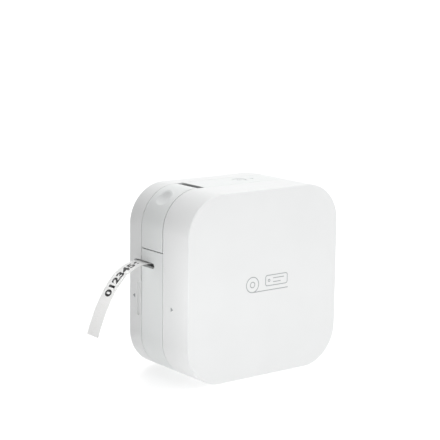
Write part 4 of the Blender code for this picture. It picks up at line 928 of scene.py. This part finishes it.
def makePowerMark():
    # the usual broken ring and bar, printed on the button's cap
    x, y = (buttonLow.x + buttonHigh.x) / 2, (buttonLow.y + buttonHigh.y) / 2
    low, high = marks["powerBar"]
    lines = [drawStroke(ringPoints(0, 0, marks["powerRadius"], 125, 415, 30), False, marks["powerStroke"]),
             drawStroke([(0, low), (0, high)], False, marks["powerStroke"])]
    piece = joinStrokes("powerMark", lines, marks["powerFlat"])
    for vertex in piece.data.vertices:
        vertex.co = Vector((x + vertex.co.x, y + vertex.co.z, buttonHigh.z + marks["powerLift"] - vertex.co.y))
    return finishPiece(piece, "button_body", padInkGrey)


makeArrow("frontArrow", "front_cover_body", -13.9 * mm, 45.7 * mm, True)
makeArrow("rearArrow", "rear_cover_body", 25.0 * mm, 47.0 * mm, False)
makePictogram()
makePowerMark()
print("marks made")


# The works inside: what each piece is made of, and how much its hard edges are rounded. All keep the CAD's shape.
works = [
    {"look": greyAcetal, "slot": "grey_pom", "edge": 0.2 * mm, "nodes": ["cutter_carriage", "roller_arm"]},
    {"look": blackNylon, "slot": "black_nylon", "edge": 0.15 * mm, "nodes": ["power_jack"]},
    {"look": gearAcetal, "slot": "natural_pom", "edge": 0.08 * mm,
     "nodes": ["feed_gear", "takeup_gear", "idler_gear", "reduction_gear"]},
    {"look": smokePolystyrene, "slot": "smoke_styrene", "edge": 0.2 * mm,
     "nodes": ["cassette_case", "cassette_lid"]},
    {"look": groundRubber, "slot": "silicone_rubber", "edge": 0.15 * mm,
     "nodes": ["pinch_roller", "platen_roller", "feed_roller"]},
    {"look": glazedAlumina, "slot": "head_ceramic", "edge": 0.1 * mm, "nodes": ["print_head"]},
    {"look": frostedAcrylic, "slot": "light_pipe", "edge": 0.08 * mm, "nodes": ["status_light"]},
    {"look": bandAbs, "slot": "white_abs", "edge": 0.12 * mm, "nodes": ["power_button"]},
    {"look": solderMask, "slot": "circuit_board", "edge": 0.06 * mm, "nodes": ["main_board", "switch_board"]},
    {"look": groundSteel, "slot": "steel", "edge": 0.0, "nodes": ["cutter_blade"]},
    {"look": springWire, "slot": "steel", "edge": 0.0, "nodes": ["cutter_spring", "roller_arm_spring"]},
    {"look": turnedSteel, "slot": "steel", "edge": 0.06 * mm,
     "nodes": ["lever_pin", "roller_arm_pin", "platen_shaft", "feed_shaft", "takeup_shaft"]},
    {"look": brushedSteel, "slot": "steel", "edge": 0.1 * mm, "nodes": ["cutter_anvil", "gear_plate"]},
    {"look": zincPlate, "slot": "steel", "edge": 0.06 * mm,
     "nodes": ["case_screw_1", "case_screw_2", "case_screw_3", "case_screw_4"]},
    {"look": tinnedSteel, "slot": "steel", "edge": 0.1 * mm, "nodes": ["radio_module"]},
    {"look": drawnCan, "slot": "steel", "edge": 0.15 * mm, "nodes": ["motor"]},
    {"look": extrudedAluminium, "slot": "aluminium", "edge": 0.15 * mm, "nodes": ["heat_sink"]},
    {"look": turnedBrass, "slot": "brass", "edge": 0.05 * mm, "nodes": ["motor_pinion"]},
    {"look": nickelPlate, "slot": "nickel_plate", "edge": 0.05 * mm,
     "nodes": ["contact_left_pair", "contact_left_single", "contact_right_single", "contact_right_pair",
               "contact_middle_1", "contact_middle_2", "contact_middle_3"]},
]

bodyOfNode = {node: body for body, nodes in frame["record"]["behaviour"]["bodies"].items() for node in nodes}


def pieceName(node):
    first, *rest = node.split("_")
    return first + "".join(word.capitalize() for word in rest)


def refine(node, look, edge):
    piece = copyOfNode(node, pieceName(node))
    if edge:
        softenEdges(piece, edge)
    smoothen(piece, 38)
    return finishPiece(piece, bodyOfNode[node], look, [node])


for group in works:
    for node in group["nodes"]:
        refine(node, group["look"], group["edge"])


def squeezeSprings():
    # gives each spring that a joint deforms a mesh of its own
    for joint in frame["record"]["behaviour"]["joints"]:
        for spring in joint.get("deforming_nodes", []):
            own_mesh(bpy.data.objects[pieceName(spring["node"])])


squeezeSprings()
refine("head_cable", flatCableLook(), 0.0)


def middleOf(node):
    low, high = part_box(node)
    return (low + high) / 2


refine("tape_roll", tapeRollLook("woundFilm", middleOf("tape_roll"), ("#f3f3f1", "#d9dad8"), 0.5),
       0.15 * mm)
for node in ("ribbon_supply_spool", "ribbon_takeup_spool"):
    refine(node, inkRibbonLook("inkRibbon" + node[7:9].capitalize(), middleOf(node)), 0.15 * mm)
for i in range(1, 7):
    node = "battery_" + str(i)
    low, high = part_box(node)
    refine(node, batteryLook("shrinkSleeve" + str(i), low.x, high.x), 0.3 * mm)


# The studio
studio = {
    "azimuth": -37.65, "elevation": 10.43, "roll": 0.72,  # degrees
    "distance": 0.86978,
    "target": (-0.01143, 0.0, 0.0928),
    "lens": 116.33,
    "tentLevel": 0.95,  # brightness of the tent half way up its sides
    "tentDarkest": 0.03, "tentBrightest": 1.08,
    "tentSlope": (1.35, 0.1, 0.29),  # how much brighter it gets to the right, to the rear and upwards
    "floorGlow": 0.48,
    "lights": (  # name, place, what it points at, size, watts and how wide it spreads in degrees
        ("overheadSoftbox", (0.25, -0.25, 1.2), (0, 0, 0.06), 0.9, 3.2, 180),
        ("leftGridLight", (-0.38, -0.1, 0.1), (-0.0575, -0.075, 0.057), 0.06, 0.023, 34),
        ("labelGridLight", (-0.135, 0.0145, 0.45), (-0.097, 0.0145, 0.05), 0.03, 0.0021, 8),
    ),
}


def makeFloor():
    # white cast acrylic sheet, polished and lit from under: an even white floor with a weak soft shadow
    deselectAll()
    bpy.ops.mesh.primitive_plane_add(size=40, location=(0, 0, -0.0001))
    floor = bpy.context.active_object
    floor.name = "studioFloor"
    look, shader = newLook("whiteAcrylic", "#cbcbcb", 0.1, 1.45)
    shader.inputs["Emission Color"].default_value = linear("#ffffff")
    shader.inputs["Emission Strength"].default_value = studio["floorGlow"]
    clouds = noise(look, 400, 1.0)
    connect(look, ramp(look, clouds, (0.3, "#cccccc"), (0.7, "#c9c9c9")), shader, "Base Color")
    floor.data.materials.append(look)


def areaLight(name, location, target, size, power, spread):
    light = bpy.data.lights.new(name, "AREA")
    light.shape = "DISK"
    light.size = size
    light.energy = power
    light.spread = math.radians(spread)
    lamp = bpy.data.objects.new(name, light)
    bpy.context.scene.collection.objects.link(lamp)
    lamp.location = location
    lamp.rotation_euler = (Vector(target) - Vector(location)).to_track_quat("-Z", "Y").to_euler()


def makeWorld():
    # a big pale tent, dimmer to the left so that the sides keep their form
    world = bpy.data.worlds.new("studioTent")
    bpy.context.scene.world = world
    world.use_nodes = True
    nodes, links = world.node_tree.nodes, world.node_tree.links
    background = nodes["Background"]
    where = nodes.new("ShaderNodeTexCoord")
    dot = nodes.new("ShaderNodeVectorMath")
    dot.operation = "DOT_PRODUCT"
    dot.inputs[1].default_value = studio["tentSlope"]
    links.new(where.outputs["Generated"], dot.inputs[0])
    level = nodes.new("ShaderNodeMapRange")
    level.inputs[1].default_value = studio["tentDarkest"] - studio["tentLevel"]
    level.inputs[2].default_value = studio["tentBrightest"] - studio["tentLevel"]
    level.inputs[3].default_value = studio["tentDarkest"]
    level.inputs[4].default_value = studio["tentBrightest"]
    links.new(dot.outputs["Value"], level.inputs[0])
    links.new(level.outputs[0], background.inputs["Strength"])
    background.inputs["Color"].default_value = (1, 1, 1, 1)


def makeCamera():
    azimuth, elevation, roll = (math.radians(studio[k]) for k in ("azimuth", "elevation", "roll"))
    back = Vector((math.sin(azimuth) * math.cos(elevation), -math.cos(azimuth) * math.cos(elevation),
                   math.sin(elevation)))
    right = Vector((math.cos(azimuth), math.sin(azimuth), 0))
    up = back.cross(right)
    turnedRight = right * math.cos(roll) + up * math.sin(roll)
    turnedUp = up * math.cos(roll) - right * math.sin(roll)
    camera = bpy.data.objects.new("studioCamera", bpy.data.cameras.new("studioCamera"))
    bpy.context.scene.collection.objects.link(camera)
    camera.matrix_world = Matrix.Translation(Vector(studio["target"]) + back * studio["distance"]) @ Matrix((
        turnedRight, turnedUp, back)).transposed().to_4x4()
    camera.data.lens = studio["lens"]
    camera.data.sensor_width = 36
    camera.data.clip_start = 0.01
    camera.data.clip_end = 100
    bpy.context.scene.camera = camera


makeFloor()
makeWorld()
for light in studio["lights"]:
    areaLight(*light)
makeCamera()
bpy.context.scene.view_settings.view_transform = "Standard"
print("studio made")
